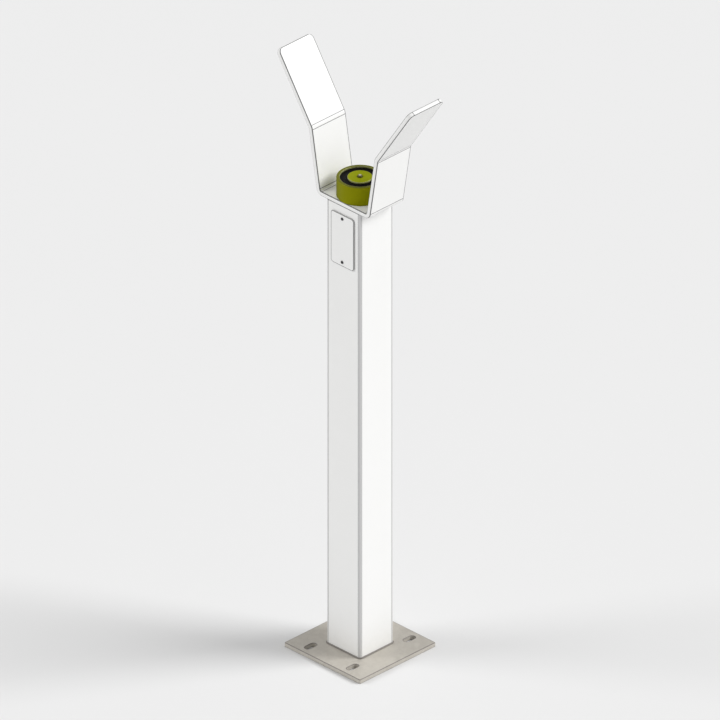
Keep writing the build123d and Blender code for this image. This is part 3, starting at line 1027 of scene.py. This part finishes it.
class Workshop:
    """The finishes and the Geometry Nodes trees that the sub-assemblies share."""

    def __init__(self) -> None:
        """Builds them."""
        self.paint = PowderCoat().build()
        # Painted shade: a dark coat for edge rounds and narrow edge bands, painted shade lines that outline
        # the white parts.
        self.edge_shade_paint = PowderCoat("powder_coat_painted_edge_shade", (0.14, 0.14, 0.14), roughness=0.45).build()
        # Painted shade: the column's corner rounds get a greyer coat so that they read darker than both
        # faces.
        self.corner_shade_paint = PowderCoat("powder_coat_painted_corner_shade", (0.64, 0.64, 0.64)).build()
        self.zinc_coat = Galvanised().build()
        # Painted shade lines on the base plate's edge rounds and edge bands. The same dark zinc is also the
        # weld bead's own colour.
        self.zinc_edge_shade_and_weld = Galvanised("galvanised_edge_shade_and_weld", (0.17, 0.155, 0.14), (0.26, 0.24, 0.22)).build()
        self.chromate = TurnedPlating().build()
        self.pin_steel = PinSteel(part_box("ejector_pin")[1].z).build()
        self.resin = Resin().build()
        self.raw = Steel("mill_steel", (0.28, 0.27, 0.27), roughness=0.42).build()
        self.plated = Steel("zinc_plated_steel", (0.62, 0.63, 0.65)).build()
        self.black = Steel("black_oxide_steel", (0.07, 0.07, 0.075), roughness=0.35, metallic=0.6).build()
        self.spring = Steel("spring_steel", (0.42, 0.42, 0.44), roughness=0.25).build()
        self.brass = Steel("machined_brass", (0.66, 0.46, 0.17), roughness=0.25).build()
        self.copper = Steel("enamelled_copper", (0.56, 0.20, 0.07), roughness=0.22, scratch=1 * MM).build()
        self.nylon = Moulded("natural_nylon", (0.68, 0.65, 0.56), roughness=0.42).build()
        self.rubber = Moulded("black_rubber", (0.018, 0.018, 0.018), roughness=0.62).build()
        self.sheath = Moulded("grey_sheath", (0.13, 0.135, 0.14), roughness=0.48, grain=0.8 * MM).build()
        self.rows = rows_recipe()
        self.bead = bead_recipe()
        self.winding = winding_recipe()
        self.helix = spring_recipe()


def coat(piece: bpy.types.Object, *materials: bpy.types.Material) -> None:
    """Gives a piece the material of each slot in turn. Faces keep the number of their slot."""
    for material in materials:
        piece.data.materials.append(material)


def put(piece: bpy.types.Object, body: str, node: str) -> None:
    """Fastens a finished piece to its body and hides the CAD node that it stands for.

    Args:
        piece: The piece, in its place and coated.
        body: The body that it moves with.
        node: The CAD node that it stands for.
    """
    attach(piece, body)
    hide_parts(node)
    LOG.info("%s: %d faces, rides on %s", piece.name, len(piece.data.polygons), body)


def dress(material: bpy.types.Material, *nodes: str) -> None:
    """Gives CAD nodes that stay a material.

    Args:
        material: The material.
        nodes: The nodes' names.
    """
    for node in nodes:
        mesh = frame["nodes"][node].data
        for index in range(len(mesh.materials)):
            mesh.materials[index] = material
        LOG.info("%s: carried over", node)


@dataclass
class BasePlate:
    """The galvanised base plate and the weld at the column's foot."""

    shop: Workshop
    corner: float = 1.8 * MM
    slot_length: float = 24 * MM
    slot_width: float = 11 * MM
    slot_spacing: Point = (135 * MM, 100 * MM)
    cable_entry: float = 20 * MM
    edge: float = 0.9 * MM
    shade_line_band: float = 0.5 * MM
    weld_leg: float = 2.5 * MM
    weld_corner: float = 5 * MM
    ripple_step: float = 1.5 * MM
    ripple_length: float = 2.1 * MM

    def build(self) -> None:
        """Builds the plate and the weld."""
        low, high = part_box("base_plate")
        size = high - low
        half_x, half_y = (s / 2 for s in self.slot_spacing)
        places = product((-half_x, half_x), (-half_y, half_y))
        slots = [anchor_slot(place, self.slot_length, self.slot_width) for place in places]
        outline = rounded_rectangle(size.x, size.y, self.corner, steps=4)
        plate = flat_piece("base_plate_steel", [outline, circle(self.cable_entry, steps=72), *slots], size.z)
        # Painted shade: a dark band along the plate's upper edges and dark edge rounds, standing in for the
        # shading that outlines them.
        band_edges(plate, self.edge + self.shade_line_band)
        lift(plate, high.z)
        coat(plate, self.shop.zinc_coat, self.shop.zinc_edge_shade_and_weld)
        break_edges(plate, self.edge)
        put(plate, "post", "base_plate")
        self._weld()

    def _weld(self) -> None:
        """Lays the weld bead round the column's foot."""
        low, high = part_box("column_tube")
        side = high.x - low.x + 0.6 * self.weld_leg
        height = low.z + 0.25 * self.weld_leg
        loop = rounded_rectangle(side, side, self.weld_corner, steps=6)
        bead = add_piece("foot_weld_bead")
        ends = [(i, (i + 1) % len(loop)) for i in range(len(loop))]
        bead.data.from_pydata([(x, y, height) for x, y in loop], ends, [])
        sizes = {"Step": self.ripple_step, "Leg": 0.68 * self.weld_leg, "Length": self.ripple_length}
        # The bead takes the dark edge zinc: partly its own darker colour, partly a painted shade line at the
        # column's foot.
        self.shop.bead.run(bead, self.shop.zinc_edge_shade_and_weld, **sizes, Seed=7)
        put(bead, "post", "foot_weld")


@dataclass
class Column:
    """The square tube with its access opening."""

    shop: Workshop
    wall: float = 3 * MM
    corner: float = 4 * MM
    opening: Point = (38 * MM, 68 * MM)
    opening_corner: float = 4 * MM
    nut_seat: float = 0.95 * MM
    edge: float = 0.5 * MM
    shade_line_band: float = 0.9 * MM
    corner_steps: int = 10

    def build(self) -> None:
        """Builds the tube: painted corner shade on its corner rounds in the third slot, and painted shade
        lines in the second, on the bands beside the rounds and on its edge rounds.
        """
        low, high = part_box("column_tube")
        side = high.x - low.x
        inner_side = side - 2 * self.wall
        inner = rounded_rectangle(inner_side, inner_side, self.corner - self.wall, steps=4)
        tube = flat_piece("column_steel", [self._outline(side / 2), inner], high.z - low.z)
        lift(tube, high.z)
        coat(tube, self.shop.paint, self.shop.edge_shade_paint, self.shop.corner_shade_paint)
        # Painted shade: flat faces in the band beside each corner round take the dark edge coat, and the
        # rounds take the greyer corner coat.
        band_start = side / 2 - self.corner - self.shade_line_band
        for face in tube.data.polygons:
            flat = max(map(abs, face.normal)) > FLAT
            in_band = abs(face.normal.z) < 0.5 and min(map(abs, face.center[:2])) > band_start
            face.material_index = int(in_band) if flat else 2
        cut(tube, self._cutter(low.x))
        break_edges(tube, self.edge)
        put(tube, "post", "column_tube")
        dress(self.shop.raw, "head_plate", "head_weld")

    def _outline(self, half: float) -> list[Point]:
        """The tube's outline, with a point beyond both ends of each round where the painted shade band stops.

        Args:
            half: Half the tube's side.

        Returns:
            The closed outline, anticlockwise.
        """
        rounds = rounded_rectangle(2 * half, 2 * half, self.corner, self.corner_steps)
        stop = half - self.corner - self.shade_line_band
        sides = [
            [(stop, half), (-stop, half)], [(-half, stop), (-half, -stop)],
            [(-stop, -half), (stop, -half)], [(half, -stop), (half, stop)],
        ]
        count = self.corner_steps + 1
        return [point for i in range(4) for point in rounds[count * i:count * (i + 1)] + sides[i]]

    def _cutter(self, front: float) -> bpy.types.Object:
        """The shape of the access opening and of the rivet nuts' holes.

        Args:
            front: The place of the column's front face along X.

        Returns:
            The cutter.
        """
        low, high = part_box("cover_gasket")
        nuts_low, nuts_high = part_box("rivet_nuts")
        flange = (nuts_high.y - nuts_low.y) / 2
        reach = (nuts_high.z - nuts_low.z) / 2 - flange
        loops = [rounded_rectangle(*self.opening, self.opening_corner)]
        loops += [circle(flange - self.nut_seat, (0.0, offset), steps=32) for offset in (-reach, reach)]
        cutter = flat_piece("opening_cutter", loops, 3 * self.wall)
        face_front(cutter, front - self.wall, (low + high) / 2)
        return cutter


@dataclass
class Fork:
    """The flat bar bent into a fork, drawn as the bar's middle line and its section."""

    shop: Workshop
    half_base: float = 62.25 * MM
    lower_height: float = 120 * MM
    lower_lean: float = 9.35
    upper_length: float = 143 * MM
    upper_lean: float = 33.5
    lower_bend: float = 4 * MM
    upper_bend: float = 8 * MM
    tip_corner: float = 10 * MM
    edge: float = 1.0 * MM
    shade_line_band: float = 0.7 * MM
    bend_shade_line: float = 1.2 * MM
    section_steps: int = 3
    end_face: float = 0.1 * MM
    bolt_hole: float = 4.2 * MM
    lead_hole: float = 5 * MM
    hole_gap: float = 0.2 * MM
    hole_depth: float = 12 * MM

    def build(self) -> None:
        """Builds the bar and its screws."""
        low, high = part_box("fork")
        screws_low, screws_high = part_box("fork_screws")
        bar = self._bar(high.x - low.x, low.z)
        # The second slot holds painted shade lines: the bar's edge rounds, bands beside its bends and near
        # its tip, and its end face.
        coat(bar, self.shop.paint, self.shop.edge_shade_paint)
        screw = Screw(
            3 * MM, 16 * MM, 6 * MM, 3 * MM, 4 * MM, countersunk=True, pitch=1 * MM, drive_share=0.5
        )
        spacing = screws_high.x - screws_low.x - 2 * screw.head_radius
        cut(bar, *self._holes(screws_high.z, spacing, screw))
        put(bar, "post", "fork")
        screws = screw.build("fork_screw_set")
        self.shop.rows.run(screws, self.shop.plated, Columns=2, Rows=2, Width=spacing, Height=spacing)
        lift(screws, screws_high.z)
        shade(screws)
        put(screws, "post", "fork_screws")

    def _stations(self, thickness: float, base_z: float) -> list[tuple[float, float, float, float, bool]]:
        """Places along one half of the bar's middle line, from the middle of the base to the tip.

        Args:
            thickness: The bar's thickness.
            base_z: The height of the bar's underside.

        Returns:
            For each place: Y, Z, the angle of the bar above the ground, the length still to the tip,
            and whether the stretch that ends there carries a painted shade line beside a bend.
        """
        half = thickness / 2
        first_turn = math.radians(90 - self.lower_lean)
        second_turn = math.radians(self.lower_lean - self.upper_lean)
        lower_length = self.lower_height / math.cos(math.radians(self.lower_lean))
        first_radius, second_radius = self.lower_bend + half, self.upper_bend + half
        first_cut = (half + first_radius) * math.tan(first_turn / 2)
        second_cut = (half - second_radius) * math.tan(second_turn / 2)
        runs = [
            (self.half_base - first_cut, first_radius, first_turn, 12),
            (lower_length - first_cut - second_cut, second_radius, second_turn, 8),
            (self.upper_length - second_cut, 0.0, 0.0, 0),
        ]
        y, z, angle = 0.0, base_z + half, 0.0
        made = [(y, z, angle, False)]
        mark = self.bend_shade_line
        for straight, radius, turn, steps in runs:
            before, after = (mark if y else 0.0), (mark if steps else 0.0)
            plain = straight - before - after
            pieces = [plain / 4] * 4 if steps else self._tip_steps(plain)
            for length in filter(None, [before, *pieces, after]):
                y, z = y + length * math.cos(angle), z + length * math.sin(angle)
                made.append((y, z, angle, length == mark))
            for _ in range(steps):
                chord = 2 * radius * math.sin(abs(turn) / steps / 2)
                middle = angle + turn / steps / 2
                y, z = y + chord * math.cos(middle), z + chord * math.sin(middle)
                angle += turn / steps
                made.append((y, z, angle, False))
        return [(*place, a, math.hypot(y - place[0], z - place[1]), on_shade_line) for *place, a, on_shade_line in made]

    def _tip_steps(self, straight: float) -> list[float]:
        """Lengths of the steps along the upper flange, small where the tip's corners and edges are round.

        Args:
            straight: The length of the upper flange.

        Returns:
            The lengths, in order towards the tip.
        """
        corner = [self.tip_corner * (1 - math.cos(math.radians(90 * i / 10))) for i in range(11)]
        edge = [self.edge * (1 - math.cos(math.radians(90 * i / 4))) for i in range(1, 4)]
        marks = sorted({*corner, *edge, *(straight * i / 5 for i in range(1, 5)), straight}, reverse=True)
        return [a - b for a, b in zip(marks, marks[1:])]

    def _ring(self, width: float, thickness: float, to_tip: float) -> list[Point]:
        """The bar's section at a place, narrowed at the tip.

        Args:
            width: The bar's width.
            thickness: The bar's thickness.
            to_tip: The length from here to the tip.

        Returns:
            Points across the bar and through it.
        """
        corner_gap = max(self.tip_corner - to_tip, 0.0)
        edge_gap = max(self.edge - to_tip, 0.0)
        narrow = self.tip_corner - math.sqrt(max(self.tip_corner**2 - corner_gap**2, 0.0))
        thin = self.edge - math.sqrt(max(self.edge**2 - edge_gap**2, 0.0))
        wide, thick = width - 2 * narrow, thickness - 2 * thin
        outline = rounded_rectangle(wide, thick, self.edge, self.section_steps)
        per_corner = self.section_steps + 1
        corners = [outline[i:i + per_corner] for i in range(0, 4 * per_corner, per_corner)]
        inner = wide / 2 - self.edge - self.shade_line_band
        upper = [(inner, thick / 2), (-inner, thick / 2)]
        lower = [(-inner, -thick / 2), (inner, -thick / 2)]
        return corners[0] + upper + corners[1] + corners[2] + lower + corners[3]

    def _bar(self, width: float, base_z: float) -> bpy.types.Object:
        """Sweeps the section along both halves of the middle line.

        Args:
            width: The bar's width.
            base_z: The height of its underside.

        Returns:
            The bar, with its rounds and its painted shade lines in the second material slot.
        """
        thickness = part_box("fork_screws")[1].z - base_z
        half = self._stations(thickness, base_z)
        places = [(-y, z, -angle, *rest) for y, z, angle, *rest in reversed(half[1:])] + half
        per_side = self.section_steps + 2
        bar = add_piece("fork_bar")
        with editing(bar) as work:
            rings = []
            for y, z, angle, to_tip, _ in places:
                ring = self._ring(width, thickness, to_tip)
                up, out = math.cos(angle), -math.sin(angle)
                rings.append([work.verts.new((x, y + n * out, z + n * up)) for x, n in ring])
            count = len(rings[0])
            for near, far, first, second in zip(rings, rings[1:], places, places[1:]):
                closer, farther = sorted((first[3:], second[3:]))
                lined = closer[1] or farther[0] < self.edge + self.shade_line_band
                for i in range(count):
                    j = (i + 1) % count
                    face = work.faces.new([near[i], near[j], far[j], far[i]])
                    side, on_edge = divmod(i + 1, per_side)
                    # Faces in the second slot are painted shade lines.
                    marked = on_edge > 0 or (lined and side % 2 == 1) or farther[0] < self.end_face
                    face.material_index = int(marked)
            work.faces.new(rings[0])
            work.faces.new(rings[-1])
        mend(bar)
        return bar

    def _holes(self, top: float, spacing: float, screw: Screw) -> list[bpy.types.Object]:
        """The shapes of the holes in the fork's base.

        Args:
            top: The height of the base's upper face.
            spacing: The distance between the screws.
            screw: The screw that goes into each countersink.

        Returns:
            The cutters.
        """
        depth = self.hole_depth
        radius, head = screw.radius + self.hole_gap, screw.head_radius + self.hole_gap
        profile = [
            (0, -depth), (radius, -depth), (radius, radius - head), (head, 0), (head, depth), (0, depth),
        ]
        cutters = []
        for x, y in product((-spacing / 2, spacing / 2), repeat=2):
            sink = lathe("screw_hole", profile, segments=40)
            sink.data.transform(Matrix.Translation((x, y, top)))
            cutters.append(sink)
        lead_low, lead_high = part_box("lead_grommet")
        lead_x = (lead_low.x + lead_high.x) / 2
        for x, hole in ((0.0, self.bolt_hole), (lead_x, self.lead_hole)):
            bore = flat_piece("bore", [circle(hole, (x, 0.0))], 2 * depth)
            lift(bore, top + depth)
            cutters.append(bore)
        return cutters


@dataclass
class Magnet:
    """The pot magnet, its coil and the ejector pin."""

    shop: Workshop
    wall: float = 5.6 * MM
    floor: float = 7 * MM
    bolt_hole: float = 4.2 * MM
    lead_hole: float = 3.2 * MM
    edge: float = 0.8 * MM
    thread: float = 4.05 * MM
    thread_depth: float = 9.05 * MM
    pin_bore: float = 6.5 * MM
    pin_bore_depth: float = 17 * MM
    meniscus: float = 0.3 * MM
    sag: float = 0.15 * MM
    coil_depth: float = 11 * MM
    wire: float = 0.4 * MM
    copper_share: float = 0.97
    spring_wire: float = 0.45 * MM
    spring_turns: float = 5.0
    stem: float = 4.5 * MM
    stem_gap: float = 0.05 * MM
    dome: float = 2.4 * MM
    tail: float = 3.2 * MM
    bush_mouth: float = 0.8 * MM

    def build(self) -> None:
        """Builds every piece of the magnet."""
        self._pot()
        self._pole()
        self._potting()
        self._coil()
        self._pin()
        self._spring()
        dress(self.shop.nylon, "coil_bobbin")
        dress(self.shop.plated, "magnet_washers", "magnet_bolt")

    def _plate(self, piece: bpy.types.Object, node: str) -> None:
        """Finishes a turned piece in the magnet's plating.

        Args:
            piece: The piece.
            node: The CAD node that it stands for.
        """
        level_normals(piece)
        coat(piece, self.shop.chromate)
        put(piece, "post", node)

    def _pot(self) -> None:
        """Turns the pot and drills the lead's hole."""
        low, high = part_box("magnet_pot")
        radius, edge = high.x, self.edge
        bore = radius - self.wall
        floor = low.z + self.floor
        corners = [
            (self.bolt_hole, low.z, 0), (radius, low.z, edge), (radius, high.z, edge),
            (bore, high.z, edge / 2), (bore, floor, edge), (self.bolt_hole, floor, 0),
        ]
        pot = lathe("magnet_pot_turned", rounded_profile(corners), closed=True, segments=160)
        lead_low, lead_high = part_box("lead_grommet")
        drill = flat_piece("drill", [circle(self.lead_hole, ((lead_low.x + lead_high.x) / 2, 0.0))], 30 * MM)
        lift(drill, floor + 2 * MM)
        cut(pot, drill)
        self._plate(pot, "magnet_pot")

    def _pole(self) -> None:
        """Turns the centre pole, with the pin's bore above and the bolt's below."""
        low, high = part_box("pole_core")
        thread_top = low.z + self.thread_depth
        shelf = high.z - self.pin_bore_depth
        corners = [
            (0, thread_top, 0), (self.thread, thread_top, 0), (self.thread, low.z, 0), (high.x, low.z, 0),
            (high.x, high.z, self.edge), (self.pin_bore, high.z, 0.2 * MM), (self.pin_bore, shelf, 0),
            (0, shelf, 0),
        ]
        pole = lathe("pole_core_turned", rounded_profile(corners), segments=128)
        self._plate(pole, "pole_core")

    def _potting(self) -> None:
        """Pours the resin, which climbs a little at both walls."""
        low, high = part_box("potting_ring")
        inner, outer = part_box("pole_core")[1].x, high.x
        rise = self.meniscus
        climb = [(0.0, rise), (0.35 * rise, 0.35 * rise), (1.2 * rise, 0.0)]
        profile = [(inner, low.z), (outer, low.z), *((outer - away, high.z + up) for away, up in climb)]
        profile.append(((inner + outer) / 2, high.z - self.sag))
        profile += [(inner + away, high.z + up) for away, up in reversed(climb)]
        ring = lathe("potting_resin_ring", profile, closed=True, segments=128)
        coat(ring, self.shop.resin)
        put(ring, "post", "potting_ring")

    def _coil(self) -> None:
        """Winds the outer layer of the coil round the layers under it."""
        low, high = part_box("coil_winding")
        inner, under = high.x - self.coil_depth, high.x - self.wire
        corners = [(inner, low.z), (under, low.z), (under, high.z), (inner, high.z)]
        coil = lathe("coil_wire", corners, closed=True)
        lift(coil, -low.z - self.wire)
        pitch = 2 * self.wire
        sizes = {"Pitch": pitch, "Radius": under, "Wire": self.copper_share * self.wire}
        self.shop.winding.run(coil, self.shop.copper, Turns=int((high.z - low.z) / pitch), **sizes)
        lift(coil, low.z + self.wire)
        shade(coil)
        put(coil, "post", "coil_winding")

    def _pin(self) -> None:
        """Turns the bush and the domed pin."""
        low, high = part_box("pin_bush")
        pin_low, pin_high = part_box("ejector_pin")
        collar, collar_bottom = pin_high.x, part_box("ejector_spring")[1].z
        stem, mouth = self.stem, self.bush_mouth
        bore = stem + self.stem_gap
        corners = [
            (bore, low.z, 0), (high.x, low.z, 0), (high.x, high.z, 0.25 * MM),
            (bore + mouth, high.z, 0.15 * MM), (bore, high.z - mouth, 0.15 * MM),
        ]
        self._plate(lathe("pin_bush_turned", rounded_profile(corners), closed=True), "pin_bush")
        corners = [
            (0, pin_low.z, 0), (self.tail, pin_low.z, 0.4 * MM), (self.tail, collar_bottom, 0),
            (collar, collar_bottom, 0.2 * MM), (collar, low.z, 0), (stem, low.z, 0),
            (stem, pin_high.z, self.dome), (0, pin_high.z, 0),
        ]
        pin = lathe("ejector_pin_turned", rounded_profile(corners, steps=8))
        level_normals(pin)
        coat(pin, self.shop.pin_steel)
        put(pin, "pin", "ejector_pin")

    def _spring(self) -> None:
        """Winds the spring under the pin; the pin's travel is read, but the spring is not made to shorten
        with it.
        """
        spring_low, spring_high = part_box("ejector_spring")
        spring = add_piece("pin_spring_wire")
        wire, height = self.spring_wire, spring_high.z - spring_low.z
        sizes = {"Radius": spring_high.x - wire, "Height": height - 2 * wire, "Wire": wire}
        self.shop.helix.run(spring, self.shop.spring, Turns=self.spring_turns, **sizes)
        lift(spring, spring_low.z + wire)
        shade(spring)
        put(spring, "post", "ejector_spring")
        travel = next(j for j in frame["joints"] if j["name"] == "pin_press")["range_m"][1]
        keep = 1 - travel / height
        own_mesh(spring)


@dataclass
class Wiring:
    """The lead, the terminal strip and what holds them behind the opening."""

    shop: Workshop
    strip_edge: float = 0.4 * MM
    way_pitch: float = 12 * MM
    screw_rows: float = 7 * MM
    small_screw: float = 1.25 * MM

    def build(self) -> None:
        """Dresses the wiring and makes its screws."""
        shop = self.shop
        self._strip()
        self._screws()
        low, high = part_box("magnet_lead")
        divide = high.y - (high.x - low.x) / 2
        dress(CoreInsulation(divide).build(), "lead_cores")
        dress(shop.rubber, "lead_grommet")
        dress(shop.sheath, "magnet_lead")
        dress(shop.plated, "lead_clip", "wiring_plate", "plate_spacers", "plate_washers", "plate_nuts")
        dress(shop.raw, "plate_studs")
        dress(shop.brass, "terminal_inserts")

    def _strip(self) -> None:
        """Rounds the edges of the moulded terminal strip."""
        strip = add_piece("terminal_strip_moulding", frame["nodes"]["terminal_strip"].data.copy())
        mend(strip)
        break_edges(strip, self.strip_edge, segments=2, edge_slot=-1)
        strip.data.materials.clear()
        coat(strip, self.shop.nylon)
        put(strip, "post", "terminal_strip")

    def _screws(self) -> None:
        """Makes the terminal screws, the strip's screws and the clip's screw, all heads to the front."""
        small, pitch = self.small_screw, self.way_pitch
        low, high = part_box("terminal_screws")
        clamp = Screw(small, high.x - low.x, small, 0.3 * MM, 0.5 * MM, Drive.SLOT, pitch=0.45 * MM)
        fixing = Screw(small, 14 * MM, 2.25 * MM, small, small)
        holder = Screw(1.5 * MM, 4.8 * MM, 2.75 * MM, 1.6 * MM, 2 * MM)
        sets = [
            ("terminal_screws", "terminal_screw_set", clamp, (3, 2), (2 * pitch, self.screw_rows)),
            ("strip_screws", "strip_screw_set", fixing, (2, 1), (pitch, 0.0)),
            ("lead_clip_screw", "lead_clip_screw_turned", holder, (1, 1), (0.0, 0.0)),
        ]
        for node, name, screw, (columns, rows), (width, height) in sets:
            low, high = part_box(node)
            made = screw.build(name)
            spread = {"Columns": columns, "Rows": rows, "Width": width, "Height": height}
            self.shop.rows.run(made, self.shop.plated, **spread)
            face_front(made, low.x + screw.head_height, (low + high) / 2)
            put(made, "post", node)


@dataclass
class Cover:
    """The access cover with its gasket, its screws and the rivet nuts that they go into."""

    shop: Workshop
    corner: float = 5.5 * MM
    hole: float = 1.7 * MM
    edge: float = 0.35 * MM
    shade_line_band: float = 0.8 * MM
    nut_bore: float = 1.55 * MM
    nut_body: float = 2.5 * MM
    nut_bulge: float = 3.4 * MM
    nut_flange: float = 3.5 * MM
    nut_rim: float = 0.5 * MM
    nut_grip: float = 3 * MM

    def build(self) -> None:
        """Builds the cover and its fasteners."""
        low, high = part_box("cover_plate")
        size, middle = high - low, (low + high) / 2
        screws_low, screws_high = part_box("cover_screws")
        screw = Screw(1.5 * MM, 10 * MM, 2.75 * MM, 1.6 * MM, 2 * MM)
        reach = (screws_high.z - screws_low.z) / 2 - screw.head_radius
        loops = [rounded_rectangle(size.y, size.z, self.corner, steps=10)]
        loops += [circle(self.hole, (0.0, offset), steps=32) for offset in (-reach, reach)]
        plate = flat_piece("cover_sheet", loops, size.x)
        # Painted shade: a dark band along the cover's front edges and dark edge rounds, standing in for the
        # shading that outlines them.
        band_edges(plate, self.edge + self.shade_line_band)
        face_front(plate, low.x, middle)
        coat(plate, self.shop.paint, self.shop.edge_shade_paint)
        break_edges(plate, self.edge, segments=2)
        put(plate, "cover", "cover_plate")
        dress(self.shop.rubber, "cover_gasket")
        screws = screw.build("cover_screw_set")
        self.shop.rows.run(screws, self.shop.black, Columns=1, Rows=2, Width=0.0, Height=2 * reach)
        face_front(screws, low.x, middle)
        put(screws, "cover", "cover_screws")
        self._rivet_nuts(reach, middle)

    def _rivet_nuts(self, reach: float, middle: Vector) -> None:
        """Makes the two rivet nuts.

        Args:
            reach: Half the distance between them.
            middle: The cover's middle.
        """
        low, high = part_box("rivet_nuts")
        bore, body, bulge, flange = self.nut_bore, self.nut_body, self.nut_bulge, self.nut_flange
        wall, rim = self.nut_grip, self.nut_rim
        end = rim - (high.x - low.x)
        fold = wall + 2 * MM
        corners = [
            (bore, rim, 0.1 * MM), (flange, rim, 0.15 * MM), (flange, 0, 0.1 * MM), (body, 0, 0),
            (body, -wall, 0), (bulge, -wall, 0.5 * MM), (bulge, -fold, 0.8 * MM), (body, -fold, 0),
            (body, end, 0.3 * MM), (bore, end, 0.1 * MM),
        ]
        nuts = lathe("rivet_nut_set", rounded_profile(corners), closed=True, segments=48)
        self.shop.rows.run(nuts, self.shop.plated, Columns=1, Rows=2, Width=0.0, Height=2 * reach)
        face_front(nuts, low.x + rim, middle)
        put(nuts, "post", "rivet_nuts")


# ------------------------------------------------------------------ studio


@dataclass
class Studio:
    """Floor, soft lights and the camera."""

    floor_size: float = 16.0
    floor_colour: Colour = (0.75, 0.75, 0.75)
    frame_width: float = 1.2111
    aim_height: float = 0.5564
    azimuth: float = -45.0
    elevation: float = 30.0
    distance: float = 4.0
    far_end: float = 50.0
    sky: float = 0.50
    softness: float = 28.0
    key_way: Colour = (0.55, -0.59, 0.59)
    key_strength: float = 2.45
    side_way: Colour = (-0.64, 0.62, 0.45)
    side_strength: float = 1.25

    def build(self) -> None:
        """Builds the studio."""
        self._floor()
        self._sky()
        self._light("key_light", Vector(self.key_way), self.key_strength)
        self._light("side_light", Vector(self.side_way), self.side_strength)
        self._camera()
        bpy.context.scene.view_settings.view_transform = "Standard"

    def _floor(self) -> None:
        """Lays a plain pale floor."""
        half = self.floor_size / 2
        floor = add_piece("floor")
        corners = [(-half, -half, 0.0), (half, -half, 0.0), (half, half, 0.0), (-half, half, 0.0)]
        floor.data.from_pydata(corners, [], [(0, 1, 2, 3)])
        shader = Shader("pale_floor")
        colour = shader.blend(shader.noise(0.4), self.floor_colour, toned(self.floor_colour, 0.99))
        coat(floor, shader.finish(shader.noise(2 * MM), 0.02 * MM, {"Base Color": colour, "Roughness": 0.85}))

    def _sky(self) -> None:
        """Lights the scene evenly from all round."""
        world = bpy.data.worlds.new("studio")
        world.use_nodes = True
        background = world.node_tree.nodes["Background"]
        background.inputs["Color"].default_value = (1.0, 1.0, 1.0, 1.0)
        background.inputs["Strength"].default_value = self.sky
        bpy.context.scene.world = world

    def _aim(self, name: str, thing: bpy.types.ID, middle: Vector, way: Vector) -> bpy.types.Object:
        """Puts a light or a camera at the studio's distance from a point, and aims it at the point.

        Args:
            name: The object's name.
            thing: The light or the camera.
            middle: The point.
            way: The direction from the point to the object.

        Returns:
            The object.
        """
        holder = bpy.data.objects.new(name, thing)
        holder.location = middle + way * self.distance
        holder.rotation_euler = (-way).to_track_quat("-Z", "Y").to_euler()
        bpy.context.scene.collection.objects.link(holder)
        return holder

    def _light(self, name: str, way: Vector, strength: float) -> None:
        """Adds a soft light so large and far that it falls evenly.

        Args:
            name: The light's name.
            way: The direction in which it lies.
            strength: Its strength.
        """
        lamp = bpy.data.lights.new(name, "SUN")
        lamp.energy = strength
        lamp.angle = math.radians(self.softness)
        self._aim(name, lamp, Vector(), way)

    def _camera(self) -> None:
        """Sets up the parallel view."""
        lens = bpy.data.cameras.new("camera")
        lens.type = "ORTHO"
        lens.ortho_scale = self.frame_width
        lens.clip_end = self.far_end
        turn, tilt = math.radians(self.azimuth), math.radians(self.elevation)
        level = math.cos(tilt)
        back = Vector((math.sin(turn) * level, -math.cos(turn) * level, math.sin(tilt)))
        bpy.context.scene.camera = self._aim("camera", lens, Vector((0.0, 0.0, self.aim_height)), back)


def main() -> None:
    """Builds the post's sub-assemblies in order, then the studio."""
    logging.basicConfig(level=logging.INFO, format="%(name)s: %(message)s")
    shop = Workshop()
    for part in (BasePlate, Column, Fork, Magnet, Wiring, Cover):
        LOG.info("building %s", part.__name__)
        part(shop).build()
    Studio().build()


if __name__ == "__main__":
    main()
